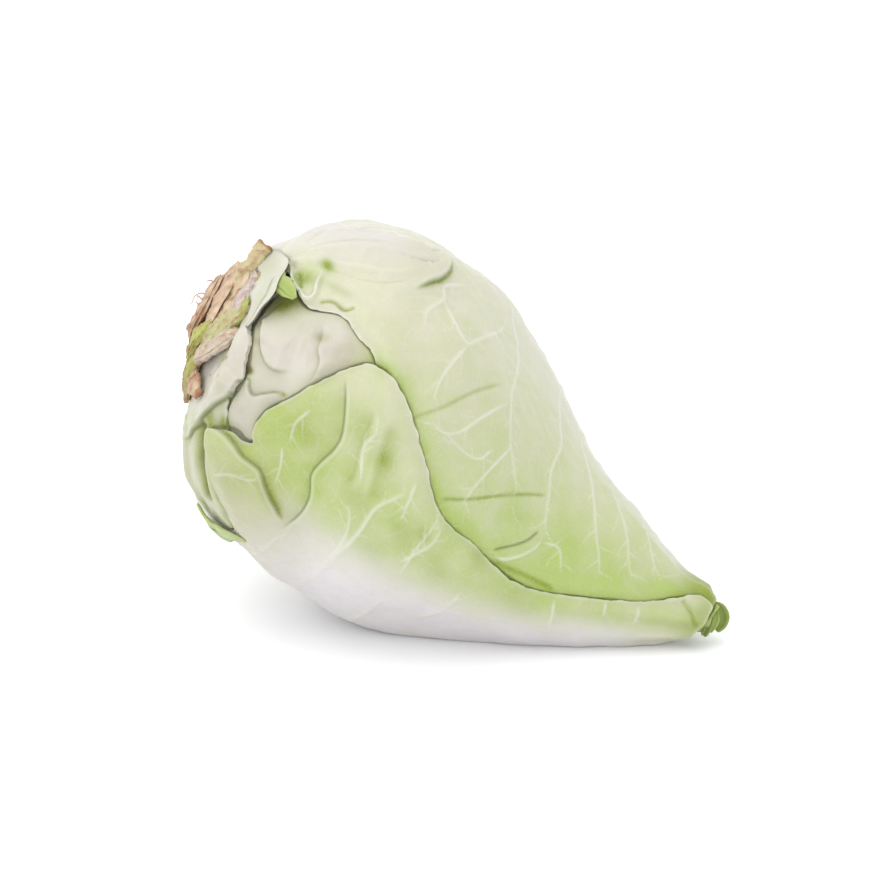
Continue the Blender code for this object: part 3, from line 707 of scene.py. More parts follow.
def relief_of_collar(relief, leaf):
    """The thick edges, the trough between them with painted shade in it, the folds and the stains."""
    upper_edge = ((246, 46), (243, 38), (240, 33), (239, 26), (236, 20), (237, 10), (242, 0), (248, -8))
    relief.vein(upper_edge, 4.2, 2.4, 0.3, 0.1)
    lower_edge = ((262, -30), (250, -28), (245, -38), (238, -46), (232, -50), (226, -52))
    relief.vein(lower_edge, 2.4, 2.2, 0.5, 0.1)
    # The trough, darkened with painted green shade and a painted dark line.
    trough = ((246, -11), (242, -15), (239, -20), (235, -25), (231, -30), (227, -35), (224, -39))
    relief.groove(trough, 3.0, 2.6, 1.0)
    relief.groove(trough, 1.6, 0.6, 0.6, "dark")
    for rows, height, reach, side, edge, line, shade, spread, ends in (
        (((231, 14), (232, 11), (234, 6), (240, -1), (244, -8), (246, -16), (250, -30)),
         1.8, 11, 1, 0.4, 0.8, 0.6, 2.2, 0.1),
        (((262, 40), (252, 38), (246, 34), (241, 26), (243, 14), (250, 4)),
         0.9, 9, -1, 0.9, 0.1, 0.3, 3.0, 0.2),
        (((256, 66), (250, 58), (244, 50), (240, 42)), 0.7, 7, 1, 0.8, 0.1, 0.25, 3.0, 0.2),
    ):
        relief.fold(rows, height, reach, side, edge, line, shade, spread, ends)
    relief.stain("green", 249, 58, 6, 6, 0.7)
    # Green patches of the collar's own; the two low ones beside the frill, at turns -48 and -54, are painted
    # shade.
    green_spots = (
        (240, -8, 4, 0.9), (234, -5, 3, 1.0), (212, -48, 7, 0.9), (245, 17, 4, 0.5), (238, 8, 3.5, 0.35),
        (243, 2, 4, 0.3), (230, -44, 5, 0.5), (252, -14, 6, 0.4), (226, -54, 6, 1.0),
    )
    relief.stains("deep", green_spots, 0.7, 50)
    specks = ((240, 18, 0.8, 1), (239, 11, 0.6, 1), (247, 47, 0.5, 1), (243, 24, 0.5, 1), (252, 8, 0.7, 1))
    relief.stains("dry", specks, 0.8)


def relief_of_back(relief, leaf):
    """The veins on both sides of the back leaf's rib."""
    for side in (1, -1):
        for rows, width in side_veins(leaf, side, range(50, 275, 20), 21 + side):
            relief.vein(rows, 1.3 * width, 0.5 * width)


# The pale margins of the leaves, the painted shadow line and painted green shade beside them, and the
# swelling beside them: strengths, then millimetres.
PALE_MARGIN = 1.3
MARGIN_SHADOW_LINE = 0.28
MARGIN_SHADOW_WIDTH = 0.5
DEEP_SHADE_WIDTH = 2.6
GREEN_SHADE_WIDTH = 7.0
RISE_BESIDE = 0.9
RISE_WIDTH = 6.0
# How strong the painted green shade is on each blade beside the margin of a leaf that lies over it.
SHADE_BESIDE = {"leaf_inner": 0.3, "leaf_back": 0.3, "leaf_collar": 0.5, "leaf_top": 0.5, "leaf_front": 0.3}


def shade_margins(name, relief):
    """Pale margins, and a painted shadow line and painted green shade beside those of the leaves above."""
    own = HEAD.depths[name].at(relief.run, relief.turn) / MM
    relief.amount["vein"] = np.maximum(relief.amount["vein"], 0.5 * (1 - ease(own / PALE_MARGIN)))
    for other in leaves_over(name):
        away = -HEAD.depths[other].at(relief.run, relief.turn) / MM
        relief.amount["dark"] += MARGIN_SHADOW_LINE * np.exp(-(((away - 0.1) / MARGIN_SHADOW_WIDTH) ** 2))
        relief.amount["deep"] += SHADE_BESIDE[name] * np.exp(-((away / DEEP_SHADE_WIDTH) ** 2))
        relief.amount["green"] += SHADE_BESIDE[name] * np.exp(-((away / GREEN_SHADE_WIDTH) ** 2))


def rise_beside(name, run, turn):
    """How far a blade swells up beside the leaves that lie over it, in millimetres."""
    rise = np.zeros(len(run))
    for other in leaves_over(name):
        away = np.maximum(-HEAD.depths[other].at(run, turn) / MM, 0)
        rise = np.maximum(rise, RISE_BESIDE * np.exp(-((away / RISE_WIDTH) ** 2)))
    return rise * HEAD.exposed(name, run, turn, 1.2 * MM)


RELIEFS = {
    "leaf_inner": relief_of_inner,
    "leaf_back": relief_of_back,
    "leaf_collar": relief_of_collar,
    "leaf_top": relief_of_top,
    "leaf_front": relief_of_front,
}

# How far apart a blade's corners are: at the creased base in front, in front, behind, and covered.
GRAINS = (0.62 * MM, 0.8 * MM, 1.2 * MM, 3.2 * MM)
INNER_GRAIN = 3.6 * MM


def grain_at(name, run, turn):
    """Which of the spacings a blade has at each place."""
    turn = np.degrees(turned_near(turn, math.radians(20)))
    shown = HEAD.exposed(name, run, turn * math.pi / 180, 9 * MM) > 0
    front = (turn > -80) & (turn < 122)
    base = front & (run > 182 * MM) & (turn < 76)
    return np.where(~shown, 3, np.where(base, 0, np.where(front, 1, 2)))


def lattice(grain):
    """Places spread evenly over the head between its tip and its stump, in staggered rows."""
    rows = []
    run = 6 * MM
    while run < HEAD_RUN:
        sectors = round(2 * math.pi * radius_at(run) / grain)
        turns = (np.arange(sectors) + 0.5 * (len(rows) % 2)) * 2 * math.pi / sectors
        rows.append(np.stack([np.full(sectors, run), turns], axis=1))
        run += 0.87 * grain
    return np.vstack(rows)


def margin_of(leaf, roughness, seed):
    """The blade's outline as a fine closed line, a little uneven."""
    ring = np.vstack([leaf.outline, leaf.outline[:1]])
    middle = radius_at((ring[1:, 0] + ring[:-1, 0]) / 2)
    steps = np.hypot(np.diff(ring[:, 0]), np.diff(ring[:, 1]) * middle)
    passed = np.concatenate([[0], np.cumsum(steps)])
    marks = np.linspace(0, passed[-1], int(passed[-1] / (0.9 * MM)), endpoint=False)
    run, turn = (np.interp(marks, passed, ring[:, k]) for k in (0, 1))
    across = (np.roll(turn, -1) - np.roll(turn, 1)) * radius_at(run)
    ahead = np.stack([np.roll(run, -1) - np.roll(run, 1), across])
    ahead /= np.linalg.norm(ahead, axis=0)
    shift = roughness * MM * (crumple(run, turn, 9, seed) + 0.6 * crumple(run, turn, 3.5, seed + 1))
    return np.stack([run + ahead[1] * shift, turn - ahead[0] * shift / radius_at(run)], axis=1)


def triangles_in(places, rim):
    """Triangles between the places, inside the margin that the first of them make."""
    flat = [Vector((u, v)) for u, v in zip(np.interp(places[:, 0], RUN, CHART), places[:, 1])]
    found = geometry.delaunay_2d_cdt(flat, [], [list(range(rim))], 1, 1e-7)
    order = np.array([source[0] for source in found[3]])
    return order, np.array(found[2])


def blade_places(name, leaf, ring, grains):
    """The margin's places, then those inside it, spaced by where they show."""
    parts = [ring]
    for number, grain in enumerate(grains):
        places = lattice(grain)
        places[:, 1] = leaf.near(places[:, 1])
        places = places[HEAD.depths[name].at(*places.T) > -1.5 * MM]
        if len(grains) > 1:
            places = places[grain_at(name, *places.T) == number]
        depth = HEAD.depths[name].at(*places.T)
        close = depth < 4 * MM
        depth[close] = inside_depth(ring, *places[close].T)
        parts.append(places[depth > 0.55 * max(grain, 0.9 * MM)])
    return np.vstack(parts)


def mesh_of(name, points, faces):
    """A mesh from corners and triangles."""
    mesh = bpy.data.meshes.new(name)
    mesh.vertices.add(len(points))
    mesh.vertices.foreach_set("co", np.asarray(points, np.float32).ravel())
    mesh.loops.add(3 * len(faces))
    mesh.loops.foreach_set("vertex_index", np.asarray(faces, np.int32).ravel())
    mesh.polygons.add(len(faces))
    mesh.polygons.foreach_set("loop_start", np.arange(0, 3 * len(faces), 3, dtype=np.int32))
    mesh.update(calc_edges=True)
    mesh.validate()
    return mesh


def add_tint(mesh, name, values):
    """A tint's amount at each point of the mesh, for the skins."""
    layer = mesh.attributes.new(name, "FLOAT", "POINT")
    layer.data.foreach_set("value", np.clip(values, 0, 1).astype(np.float32))


def add_chart(mesh, run, turn):
    """A UV map that lays the head's surface flat, in units of about 75 mm."""
    corners = np.empty(len(mesh.loops), np.int32)
    mesh.loops.foreach_get("vertex_index", corners)
    flat = np.stack([np.interp(run, RUN, CHART), turn], axis=1)[corners]
    mesh.uv_layers.new(name="chart").data.foreach_set("uv", flat.astype(np.float32).ravel())


def add_piece(name, mesh, material):
    """An object of the scene with its mesh and skin."""
    mesh.materials.append(material)
    mesh.shade_smooth()
    piece = bpy.data.objects.new(name, mesh)
    bpy.context.scene.collection.objects.link(piece)
    return piece


# How uneven the margins are, in millimetres. At its margin a blade hugs what lies under it: how near
# it comes, how far in that reaches, how much its waves flatten there, and how thin its rim is.
ROUGHNESS = 0.35
COLLAR_ROUGHNESS = 0.9
MARGIN_GAP = 0.2 * MM
HUG_WIDTH = 6 * MM
LESS_WAVED = 0.95
LESS_WAVED_WIDTH = 9 * MM
RIM_SHARE = 0.55
RIM_WIDTH = 5 * MM
# How near its margin a depth is reckoned exactly, and how far under its upper leaf a blade is smooth.
EXACT_DEPTH = 5 * MM
SMOOTH_UNDER = 5 * MM
# Past these angles an edge is sharp: at a blade's rim, in the heart's folds and on the cut stalks.
SHARP_RIM = math.radians(62)
SHARP_FOLD = math.radians(60)
SHARP_CUT = math.radians(55)


def depth_within(name, ring, run, turn):
    """How deep places lie inside a blade's margin: from the head's map, and exact close to the margin."""
    depth = HEAD.depths[name].at(run, turn)
    close = depth < EXACT_DEPTH
    depth[close] = inside_depth(ring, run[close], turn[close])
    return np.maximum(depth, 0)


def blade_face(name, ring, grains, number):
    """The order of a blade's corners, its triangles, and the relief at the corners."""
    leaf = HEAD.leaves[name]
    places = blade_places(name, leaf, ring, grains)
    order, faces = triangles_in(places, len(ring))
    relief = Relief(*places[order].T)
    RELIEFS[name](relief, leaf)
    relief.lift += 0.35 * crumple(relief.run, relief.turn, 22, 60 + number)
    return order, faces, relief


def under_and_over(name, ring, run, turn, lift):
    """The heights over the heart of a blade's inner and outer face, raised by lift in millimetres."""
    leaf = HEAD.leaves[name]
    depth = depth_within(name, ring, run, turn)
    waves = leaf.waves(run, turn, depth)
    hug = (LEAF_GAP - MARGIN_GAP) * (1 - ease(depth / HUG_WIDTH))
    hug += LESS_WAVED * waves * (1 - ease(depth / LESS_WAVED_WIDTH))
    under = HEAD.floors[name].at(run, turn) + waves + leaf.swelling(run, turn) - hug + lift * MM
    thinner = RIM_SHARE + (1 - RIM_SHARE) * ease(depth / RIM_WIDTH)
    return under, under + HEAD.thickness[name].at(run, turn) * thinner


def rim_between(outer, inner):
    """Triangles that join two closed rows of corners."""
    ahead_outer, ahead_inner = np.roll(outer, -1), np.roll(inner, -1)
    return np.concatenate([
        np.stack([outer, ahead_outer, ahead_inner], axis=1),
        np.stack([outer, ahead_inner, inner], axis=1),
    ])


def make_blade(name, number):
    """A leaf: its outer face, its inner face and the thin rim between them."""
    roughness = COLLAR_ROUGHNESS if name == "leaf_collar" else ROUGHNESS
    ring = margin_of(HEAD.leaves[name], roughness, 40 + number)
    order, outer_faces, relief = blade_face(name, ring, GRAINS, number)
    run, turn = relief.run, relief.turn
    tint_blade(name, relief)
    shade_margins(name, relief)
    shown = HEAD.exposed(name, run, turn, SMOOTH_UNDER)
    at_base = ease((run / MM - 190) / 25) * (name in ("leaf_collar", "leaf_inner"))
    relief.lift += (0.2 + 0.1 * at_base) * crumple(run, turn, 8, 70 + number)
    relief.amount["vein"] *= shown
    _, over = under_and_over(name, ring, run, turn, relief.lift * shown + rise_beside(name, run, turn))
    outer = HEAD.surface(run, turn, over)

    inner_order, inner_faces, inside = blade_face(name, ring, (INNER_GRAIN,), number)
    inner_lift = np.minimum(inside.lift, 0.3) * HEAD.exposed(name, inside.run, inside.turn, SMOOTH_UNDER)
    under, _ = under_and_over(name, ring, inside.run, inside.turn, inner_lift)
    inner = HEAD.surface(inside.run, inside.turn, under)
    inside.amount["vein"] *= 0
    inside.amount["dry"] *= 0

    outer_rim = np.argsort(order)[: len(ring)]
    inner_rim = np.argsort(inner_order)[: len(ring)] + len(outer)
    faces = np.vstack([outer_faces[:, ::-1], inner_faces + len(outer), rim_between(outer_rim, inner_rim)])
    mesh = mesh_of(name, np.vstack([outer, inner]), faces)
    for tint in Relief.tints:
        add_tint(mesh, tint, np.concatenate([relief.amount[tint], inside.amount[tint]]))
    add_chart(mesh, np.concatenate([run, inside.run]), np.concatenate([turn, inside.turn]))
    mesh.set_sharp_from_angle(angle=SHARP_RIM)
    piece = add_piece(name, mesh, leaf_skin(name))
    finish_piece(piece, name)
    return piece


def tint_top(amount, run, turn, uneven):
    """Green towards the tip and low down, nearly white at the base and over the top."""
    low = np.exp(-(((turn - 18) / 38) ** 2))
    amount["green"] += (0.25 + 0.75 * ease((190 - run) / 130)) * (0.35 + 0.65 * low) + 0.10 * uneven
    amount["green"] *= 1 - 0.75 * ease((run - 165) / 60) * (1 - 0.6 * low)
    amount["lilac"] += 0.6 * ease((turn - 84) / 40) * ease((220 - run) / 60)
    amount["lilac"] += 0.35 * ease((run - 190) / 40) * ease((turn - 60) / 20)
    amount["deep"] += 0.7 * ease((34 - run) / 14)


def tint_front(amount, run, turn, uneven):
    """Green in front, white with a breath of lilac below, and a little green again behind."""
    tip = ease((60 - run) / 40)
    base = ease((run - 165) / 50)
    behind = ease((-80 - turn) / 30)
    amount["green"] += 0.72 * np.exp(-(((turn + 2) / 32) ** 2)) * ease((275 - run) / 70) + 0.12 * uneven
    amount["green"] *= 1 - 0.8 * ease((-6 - turn) / 30) * (1 - 0.5 * base)
    amount["green"] *= 1 - 0.35 * tip
    amount["green"] += 0.25 * tip * ease((turn + 40) / 50) + 0.3 * base
    amount["deep"] += 0.5 * ease((26 - run) / 14) * ease((turn + 60) / 40)
    pale = 0.95 * ease((-4 - turn) / 34) * (1 - 0.8 * tip) * (1 - 0.75 * base * ease((turn + 80) / 30))
    amount["lilac"] += pale
    amount["dry"] += 0.2 * base * ease((turn + 85) / 30) * (1 - 0.6 * ease((turn + 20) / 20))
    amount["lilac"] *= 1 - 0.7 * behind
    amount["green"] += (0.22 + 0.1 * uneven) * behind


def tint_inner(amount, run, turn, uneven):
    """Pale, with a little brown where it shows in the notch, which warms it and also stands as painted shade
    of its folds.
    """
    amount["lilac"] += 0.5 * ease((run - 185) / 20)
    amount["green"] += 0.12 + 0.5 * ease((185 - run) / 60)
    # The brown here is warm tone and painted shade over the folds.
    amount["dry"] += 0.2 + 0.05 * uneven
    amount["deep"] += 0.6 * ease((32 - run) / 12)


def tint_collar(amount, run, turn, uneven):
    """Pale in front, and green at both ends, with a little brown that warms it and also stands as painted
    shade of its folds.
    """
    amount["lilac"] += 0.35
    # The brown here is warm tone and painted shade over the folds.
    amount["dry"] += 0.17 + 0.06 * uneven
    amount["green"] += 0.45 * ease((turn - 40) / 14) + 0.7 * ease((-6 - turn) / 16)


def tint_back(amount, run, turn, uneven):
    """Green towards the tip, paler towards the base."""
    amount["green"] += 0.3 + 0.5 * ease((150 - run) / 110) + 0.12 * uneven
    amount["lilac"] += 0.4 * ease((run - 170) / 60)
    amount["deep"] += 0.6 * ease((34 - run) / 14)


TINTS = {
    "leaf_inner": tint_inner,
    "leaf_back": tint_back,
    "leaf_collar": tint_collar,
    "leaf_top": tint_top,
    "leaf_front": tint_front,
}


def tint_blade(name, relief):
    """The soft shades of green, white and lilac over a blade."""
    turn = np.degrees(HEAD.leaves[name].near(relief.turn))
    TINTS[name](relief.amount, relief.run / MM, turn, crumple(relief.run, relief.turn, 16, 90))


def feed(tree, node, inputs):
    """Links a node's inputs, or sets them."""
    for key, value in inputs.items():
        if isinstance(value, bpy.types.NodeSocket):
            tree.links.new(value, node.inputs[key])
        else:
            node.inputs[key].default_value = value


def add_node(tree, kind, inputs=None, **settings):
    """A shader node with its settings and its inputs."""
    node = tree.nodes.new("ShaderNode" + kind)
    for key, value in settings.items():
        setattr(node, key, value)
    feed(tree, node, inputs or {})
    return node


def new_skin(name):
    """A material, its node tree and its shader."""
    material = bpy.data.materials.new(name)
    material.use_nodes = True
    tree = material.node_tree
    return material, tree, tree.nodes["Principled BSDF"]


def noise(tree, vector, scale, detail, output="Fac"):
    """Clouds from 0 to 1 over a vector."""
    return add_node(tree, "TexNoise", {"Vector": vector, "Scale": scale, "Detail": detail}).outputs[output]


def spread(tree, value, low, high, first, last):
    """A value that goes from first to last while the given one goes from low to high."""
    return add_node(tree, "MapRange", {0: value, 1: low, 2: high, 3: first, 4: last}).outputs[0]


def blend_colours(tree, share, first, second):
    """A colour between the first, at share 0, and the second, at 1."""
    return add_node(tree, "Mix", {0: share, 6: first, 7: second}, data_type="RGBA").outputs[2]


def reckon(tree, operation, first, second=0.0, clamp=False):
    """The result of a sum with one or two values."""
    return add_node(tree, "Math", {0: first, 1: second}, operation=operation, use_clamp=clamp).outputs[0]


def tint_of(tree, name):
    """The amount of a tint that the mesh holds."""
    return add_node(tree, "Attribute", attribute_name=name).outputs["Fac"]


def linear(red, green, blue):
    """A colour of eight-bit screen values, as the shader takes it."""
    parts = [((c / 255 + 0.055) / 1.055) ** 2.4 if c > 10 else c / 3294.6 for c in (red, green, blue)]
    return (*parts, 1.0)


# The colours of the leaves, then of the stalks.
CREAM = linear(183, 181, 158)
LEAF_GREEN = linear(152, 168, 92)
DEEP_GREEN = linear(120, 136, 24)
LILAC_WHITE = linear(198, 194, 195)
VEIN_WHITE = linear(196, 195, 186)
DRY_AND_SHADE_BROWN = linear(112, 78, 46)
# The colour of painted shade: shadow lines, the dark in a hole and the shaded rolled tips.
DARK_GREEN = linear(66, 86, 4)
TAN = linear(184, 158, 134)
PALE_TAN = linear(200, 186, 160)
STREAK_BROWN = linear(150, 112, 76)
STALK_TINTS = {
    "green": linear(158, 168, 88),
    "lilac": linear(183, 174, 173),
    "deep": linear(109, 124, 40),
    "dark": linear(66, 52, 17),
    "dry": linear(140, 98, 66),
}


def vein_nets(tree):
    """A wide and a fine net over the leaf's chart, each 1 along its lines."""
    chart = add_node(tree, "UVMap", uv_map="chart").outputs[0]
    bend = noise(tree, chart, 14.0, 4.0, "Color")
    moved = add_node(tree, "Mix", {0: 0.11, 4: chart, 5: bend}, data_type="VECTOR").outputs[1]
    nets = []
    for scale, width in ((9.0, 0.07), (30.0, 0.12)):
        inputs = {"Vector": moved, "Scale": scale}
        cells = add_node(tree, "TexVoronoi", inputs, feature="DISTANCE_TO_EDGE", voronoi_dimensions="2D")
        nets.append(spread(tree, cells.outputs["Distance"], 0.0, width, 1.0, 0.0))
    return nets


def both(tree, first, first_share, second, second_share):
    """A share of one value and a share of another together."""
    parts = [reckon(tree, "MULTIPLY", first, first_share), reckon(tree, "MULTIPLY", second, second_share)]
    return reckon(tree, "ADD", *parts)


def leaf_colour(tree, wide, fine, mottle):
    """The leaf's shades of green, which also hold painted shade, its veins, its painted dark shade and its
    brown.
    """
    uneven = spread(tree, mottle, 0.3, 0.7, 0.78, 1.22)
    colour = CREAM
    for tint, shade in (("green", LEAF_GREEN), ("lilac", LILAC_WHITE), ("deep", DEEP_GREEN)):
        share = reckon(tree, "MULTIPLY", tint_of(tree, tint), uneven, clamp=True)
        colour = blend_colours(tree, share, colour, shade)
    strong = reckon(tree, "MULTIPLY", tint_of(tree, "vein"), 0.8)
    veins = reckon(tree, "MAXIMUM", strong, both(tree, wide, 0.12, fine, 0.08))
    colour = blend_colours(tree, veins, colour, VEIN_WHITE)
    # Painted shade: the dark green of shadow lines and hollows.
    colour = blend_colours(tree, tint_of(tree, "dark"), colour, DARK_GREEN)
    return blend_colours(tree, tint_of(tree, "dry"), colour, DRY_AND_SHADE_BROWN)


def leaf_skin(name):
    """Waxy leaf: shades of green, pale veins and a fine net between them."""
    material, tree, shader = new_skin(name + "_skin")
    wide, fine = vein_nets(tree)
    spots = add_node(tree, "TexCoord").outputs["Object"]
    mottle = noise(tree, spots, 70.0, 4.0)
    grain = noise(tree, spots, 900.0, 3.0)
    height = reckon(tree, "ADD", both(tree, wide, 0.6, fine, 0.25), reckon(tree, "MULTIPLY", grain, 0.25))
    bump = add_node(tree, "Bump", {"Height": height, "Strength": 0.5, "Distance": 0.0002})
    feed(tree, shader, {
        "Base Color": leaf_colour(tree, wide, fine, mottle),
        "Roughness": spread(tree, mottle, 0.3, 0.7, 0.36, 0.52),
        "Normal": bump.outputs[0],
        "Subsurface Weight": 0.25,
        "Subsurface Radius": (1.0, 1.2, 0.5),
        "Subsurface Scale": 0.003,
        "Specular IOR Level": 0.4,
        "Sheen Weight": 0.15,
        "Sheen Roughness": 0.5,
    })
    return material


def stump_skin():
    """Dry fibrous stalk: tan, with paler and greener parts and brown cuts."""
    material, tree, shader = new_skin("stump_skin")
    spots = add_node(tree, "TexCoord").outputs["Object"]
    turned = add_node(tree, "Mapping", {0: spots, 2: (0, -AXIS_TILT, 0), 3: (90, 620, 620)}).outputs[0]
    streaks = noise(tree, turned, 1.0, 4.0)
    colour = blend_colours(tree, noise(tree, spots, 260.0, 3.0), TAN, PALE_TAN)
    for tint, shade in STALK_TINTS.items():
        share = tint_of(tree, tint)
        if tint in ("dry", "deep"):
            share = reckon(tree, "MULTIPLY", share, reckon(tree, "ADD", streaks, 0.5), clamp=True)
        colour = blend_colours(tree, share, colour, shade)
    colour = blend_colours(tree, spread(tree, streaks, 0.35, 0.6, 0.35, 0.0), colour, STREAK_BROWN)
    bump = add_node(tree, "Bump", {"Height": streaks, "Strength": 0.8, "Distance": 0.0005})
    feed(tree, shader, {
        "Base Color": colour,
        "Roughness": 0.68,
        "Normal": bump.outputs[0],
        "Subsurface Weight": 0.15,
        "Subsurface Scale": 0.002,
    })
    return material


class Cluster:
    """Closed shapes that make one piece together, and their tints."""

    def __init__(self):
        self.points, self.faces = [], []
        self.amount = {tint: [] for tint in Relief.tints}
        self.count = 0

    def add(self, points, faces, **tints):
        """Takes in a closed shape, with its tints in all or at each point."""
        self.points.append(points)
        self.faces.append(np.asarray(faces) + self.count)
        for tint in Relief.tints:
            self.amount[tint].append(np.zeros(len(points)) + tints.get(tint, 0.0))
        self.count += len(points)

    def mesh(self, name):
        """One mesh of all the shapes so far."""
        mesh = mesh_of(name, np.vstack(self.points), np.vstack(self.faces))
        for tint, parts in self.amount.items():
            add_tint(mesh, tint, np.concatenate(parts))
        return mesh


def ring_faces(rows, columns):
    """Triangles over rows of rings, closed by the two points that come after them."""
    faces = []
    along = np.arange(columns)
    ahead = (along + 1) % columns
    for i in range(rows - 1):
        a, b = i * columns + along, i * columns + ahead
        faces.append(np.stack([a, b, b + columns], axis=1))
        faces.append(np.stack([a, b + columns, a + columns], axis=1))
    first, last = rows * columns, (rows - 1) * columns
    faces.append(np.stack([np.full(columns, first), ahead, along], axis=1))
    faces.append(np.stack([np.full(columns, first + 1), last + along, last + ahead], axis=1))
    return np.vstack(faces)


# How many corners go round a tongue.
LOBE_COLUMNS = 28


def with_ends(points, columns):
    """The points of a row of rings, then the middles of its first and last ring."""
    return np.vstack([points, points[:columns].mean(axis=0), points[-columns:].mean(axis=0)])


def rounded(away):
    """How wide a tongue is beside its rounded end, from the share of its length that it is away."""
    return np.sqrt(1 - (1 - np.clip(away / 0.14, 0, 1)) ** 2)[:, None]


def tongue_rows(rows, facing, cut):
    """The rows of a tongue drawn smooth, narrowed to its rounded ends or cut flat at the last."""
    facing = np.broadcast_to(np.asarray(facing, float), (len(rows), 3))
    rows = smooth_line(np.hstack([np.asarray(rows, float), facing]), 8)
    share = np.linspace(0, 1, len(rows))
    step = 1.5 / (len(rows) - 1)
    rows[:, 3:5] *= rounded(share + step)
    if not cut:
        rows[:, 3:5] *= rounded(1 - share + step)
        return rows, share
    rows = rows[[*range(len(rows)), -1, -1]]
    rows[-2:, 3:5] *= ((0.93,), (0.5,))
    return rows, np.concatenate([share, [1, 1]])


def sides_along(path, facing, cut):
    """The directions across and out of a tongue's broad side at each of its rows."""
    tangent = np.gradient(path, axis=0)
    if cut:
        tangent[-2:] = tangent[-3]
    tangent /= np.linalg.norm(tangent, axis=1)[:, None]
    facing = facing - tangent * (facing * tangent).sum(axis=1)[:, None]
    facing /= np.linalg.norm(facing, axis=1)[:, None]
    return np.cross(facing, tangent), facing


def fibres(strength, angle, share, seed):
    """How the fibres of a tongue swell it, round it and along it."""
    rng = np.random.default_rng(seed)
    swell = np.ones((len(share), len(angle)))
    for wave in (3, 5, 8, 11):
        around = wave * angle + rng.uniform(0, 6.28) + rng.uniform(1, 3) * share[:, None]
        along = rng.uniform(10, 40) * share + rng.uniform(0, 6.28)
        swell += strength * (np.sin(around) / 2 + np.sin(along)[:, None] / 3)
    return swell


def lobe(rows, facing, square=2.0, cut=False, groove=0.0, fibre=0.0, seed=0):
    """A closed tongue along rows of (x, y, z, half its width, half its thickness), in millimetres.

    Its broad side looks along facing. Also gives how far in its groove each point is, and how far
    along the tongue."""
    rows, share = tongue_rows(rows, facing, cut)
    across, facing = sides_along(rows[:, :3], rows[:, 5:], cut)
    angle = np.arange(LOBE_COLUMNS) * 2 * math.pi / LOBE_COLUMNS
    x, y = (np.sign(v) * np.abs(v) ** (2 / square) for v in (np.cos(angle), np.sin(angle)))
    furrow = np.exp(-(((angle - math.pi / 2) / 0.5) ** 2))
    y = y * (1 - groove * furrow)
    swell = fibres(fibre, angle, share, seed)
    offset = (rows[:, 3:4] * x * swell)[:, :, None] * across[:, None, :]
    offset = offset + (rows[:, 4:5] * y * swell)[:, :, None] * facing[:, None, :]
    points = (rows[:, None, :3] + offset).reshape(-1, 3)
    points = np.vstack([points, rows[:1, :3], rows[-1:, :3]]) * MM
    in_groove = np.concatenate([np.tile(furrow, len(rows)), [0, 0]])
    along = np.concatenate([np.repeat(share, LOBE_COLUMNS), [0, 1]])
    return points, ring_faces(len(rows), LOBE_COLUMNS)[:, ::-1], in_groove, along


# The collar's loose flaps: rows of (run, turn, height, half its width, half its thickness), and tints.
FLAPS = (
    (((253, 72, 0.8, 5.4, 0.4), (247, 63, 1.8, 7.2, 0.45), (241.5, 54, 2.2, 7.4, 0.45),
      (239, 45, 2.2, 6.0, 0.45), (239, 38, 1.6, 3.0, 0.4), (239.5, 31, 0.5, 0.9, 0.3)),
     {"lilac": 0.5, "green": 0.3, "dry": 0.06}),
    (((230, -52, 0.2, 1.4, 0.5), (224, -53, 0.8, 3.0, 0.7), (217, -52, 1.2, 3.8, 0.7),
      (210, -47, 1.0, 3.0, 0.6), (204, -43, 0.4, 1.0, 0.4)),
     {"green": 1.0, "deep": 0.35}),
    (((223, -58, 0.4, 1.4, 0.5), (219, -60, 1.4, 2.4, 0.6), (214, -58, 1.8, 2.6, 0.6),
      (210, -54, 1.2, 1.2, 0.4)),
     {"green": 1.0, "deep": 0.35}),
    (((250, 60, 0.6, 1.6, 0.4), (244, 56, 1.0, 2.8, 0.5), (238, 52, 1.2, 3.8, 0.5),
      (232, 48, 0.9, 3.4, 0.5), (227, 45, 0.3, 1.2, 0.3)),
     {"green": 1.2, "deep": 0.3}),
)


def add_flaps(collar):
    """Joins the loose flaps to the collar."""
    cluster = Cluster()
    for number, (rows, tints) in enumerate(FLAPS):
        points, faces, groove, _ = lobe(*over_leaves(rows), fibre=0.2, seed=30 + number, groove=0.3)
        # The flaps' deep green grows in their grooves as painted shade.
        deep = tints.get("deep", 0.1) * (1 + groove)
        cluster.add(points, faces, **{**tints, "deep": deep})
    mesh = cluster.mesh("flaps")
    spare = np.zeros(len(mesh.vertices))
    add_chart(mesh, spare, spare)
    flaps = add_piece("flaps", mesh, collar.data.materials[0])
    bpy.ops.object.select_all(action="DESELECT")
    flaps.select_set(True)
    collar.select_set(True)
    bpy.context.view_layer.objects.active = collar
    bpy.ops.object.join()


# Where the broad sides of the tips, the tall stub and the root hairs look.
TOWARDS_VIEW = (0.19, -0.92, 0.35)
# The rolled tips of the leaves: rows of the place and half the width and thickness, and how dark: their own
# dark green with painted shade in it.
TIP_LOBES = (
    (((110.9, -1.2, 17.6, 1.2, 1.0), (113.4, -1.4, 15.6, 2.0, 1.6), (114.8, -2.0, 12.4, 2.3, 1.9),
      (114.2, -3.2, 9.2, 2.0, 1.7), (112.0, -4.3, 6.9, 1.5, 1.2)), 0.6),
    (((110.4, -2.0, 17.0, 0.9, 0.9), (109.7, -4.6, 14.4, 1.4, 1.4), (109.4, -6.4, 11.3, 1.7, 1.7),
      (108.6, -7.6, 8.2, 1.7, 1.6), (107.4, -7.6, 5.6, 1.5, 1.3)), 0.75),
    (((111.2, -2.2, 15.9, 0.8, 0.8), (111.7, -3.8, 13.6, 1.4, 1.1), (111.9, -4.8, 11.4, 1.5, 1.2),
      (110.9, -5.8, 8.8, 1.2, 1.0), (109.9, -6.2, 6.8, 0.8, 0.8)), 0.2),
)
# Where the heart's leaves overlap, in slow spirals from the tip to the base.
HEART_FOLDS = tuple(
    [(run, start + 26 * math.sin(run / 70 + start)) for run in range(16, 280, 22)]
    for start in (20, 112, 205, 298)
)


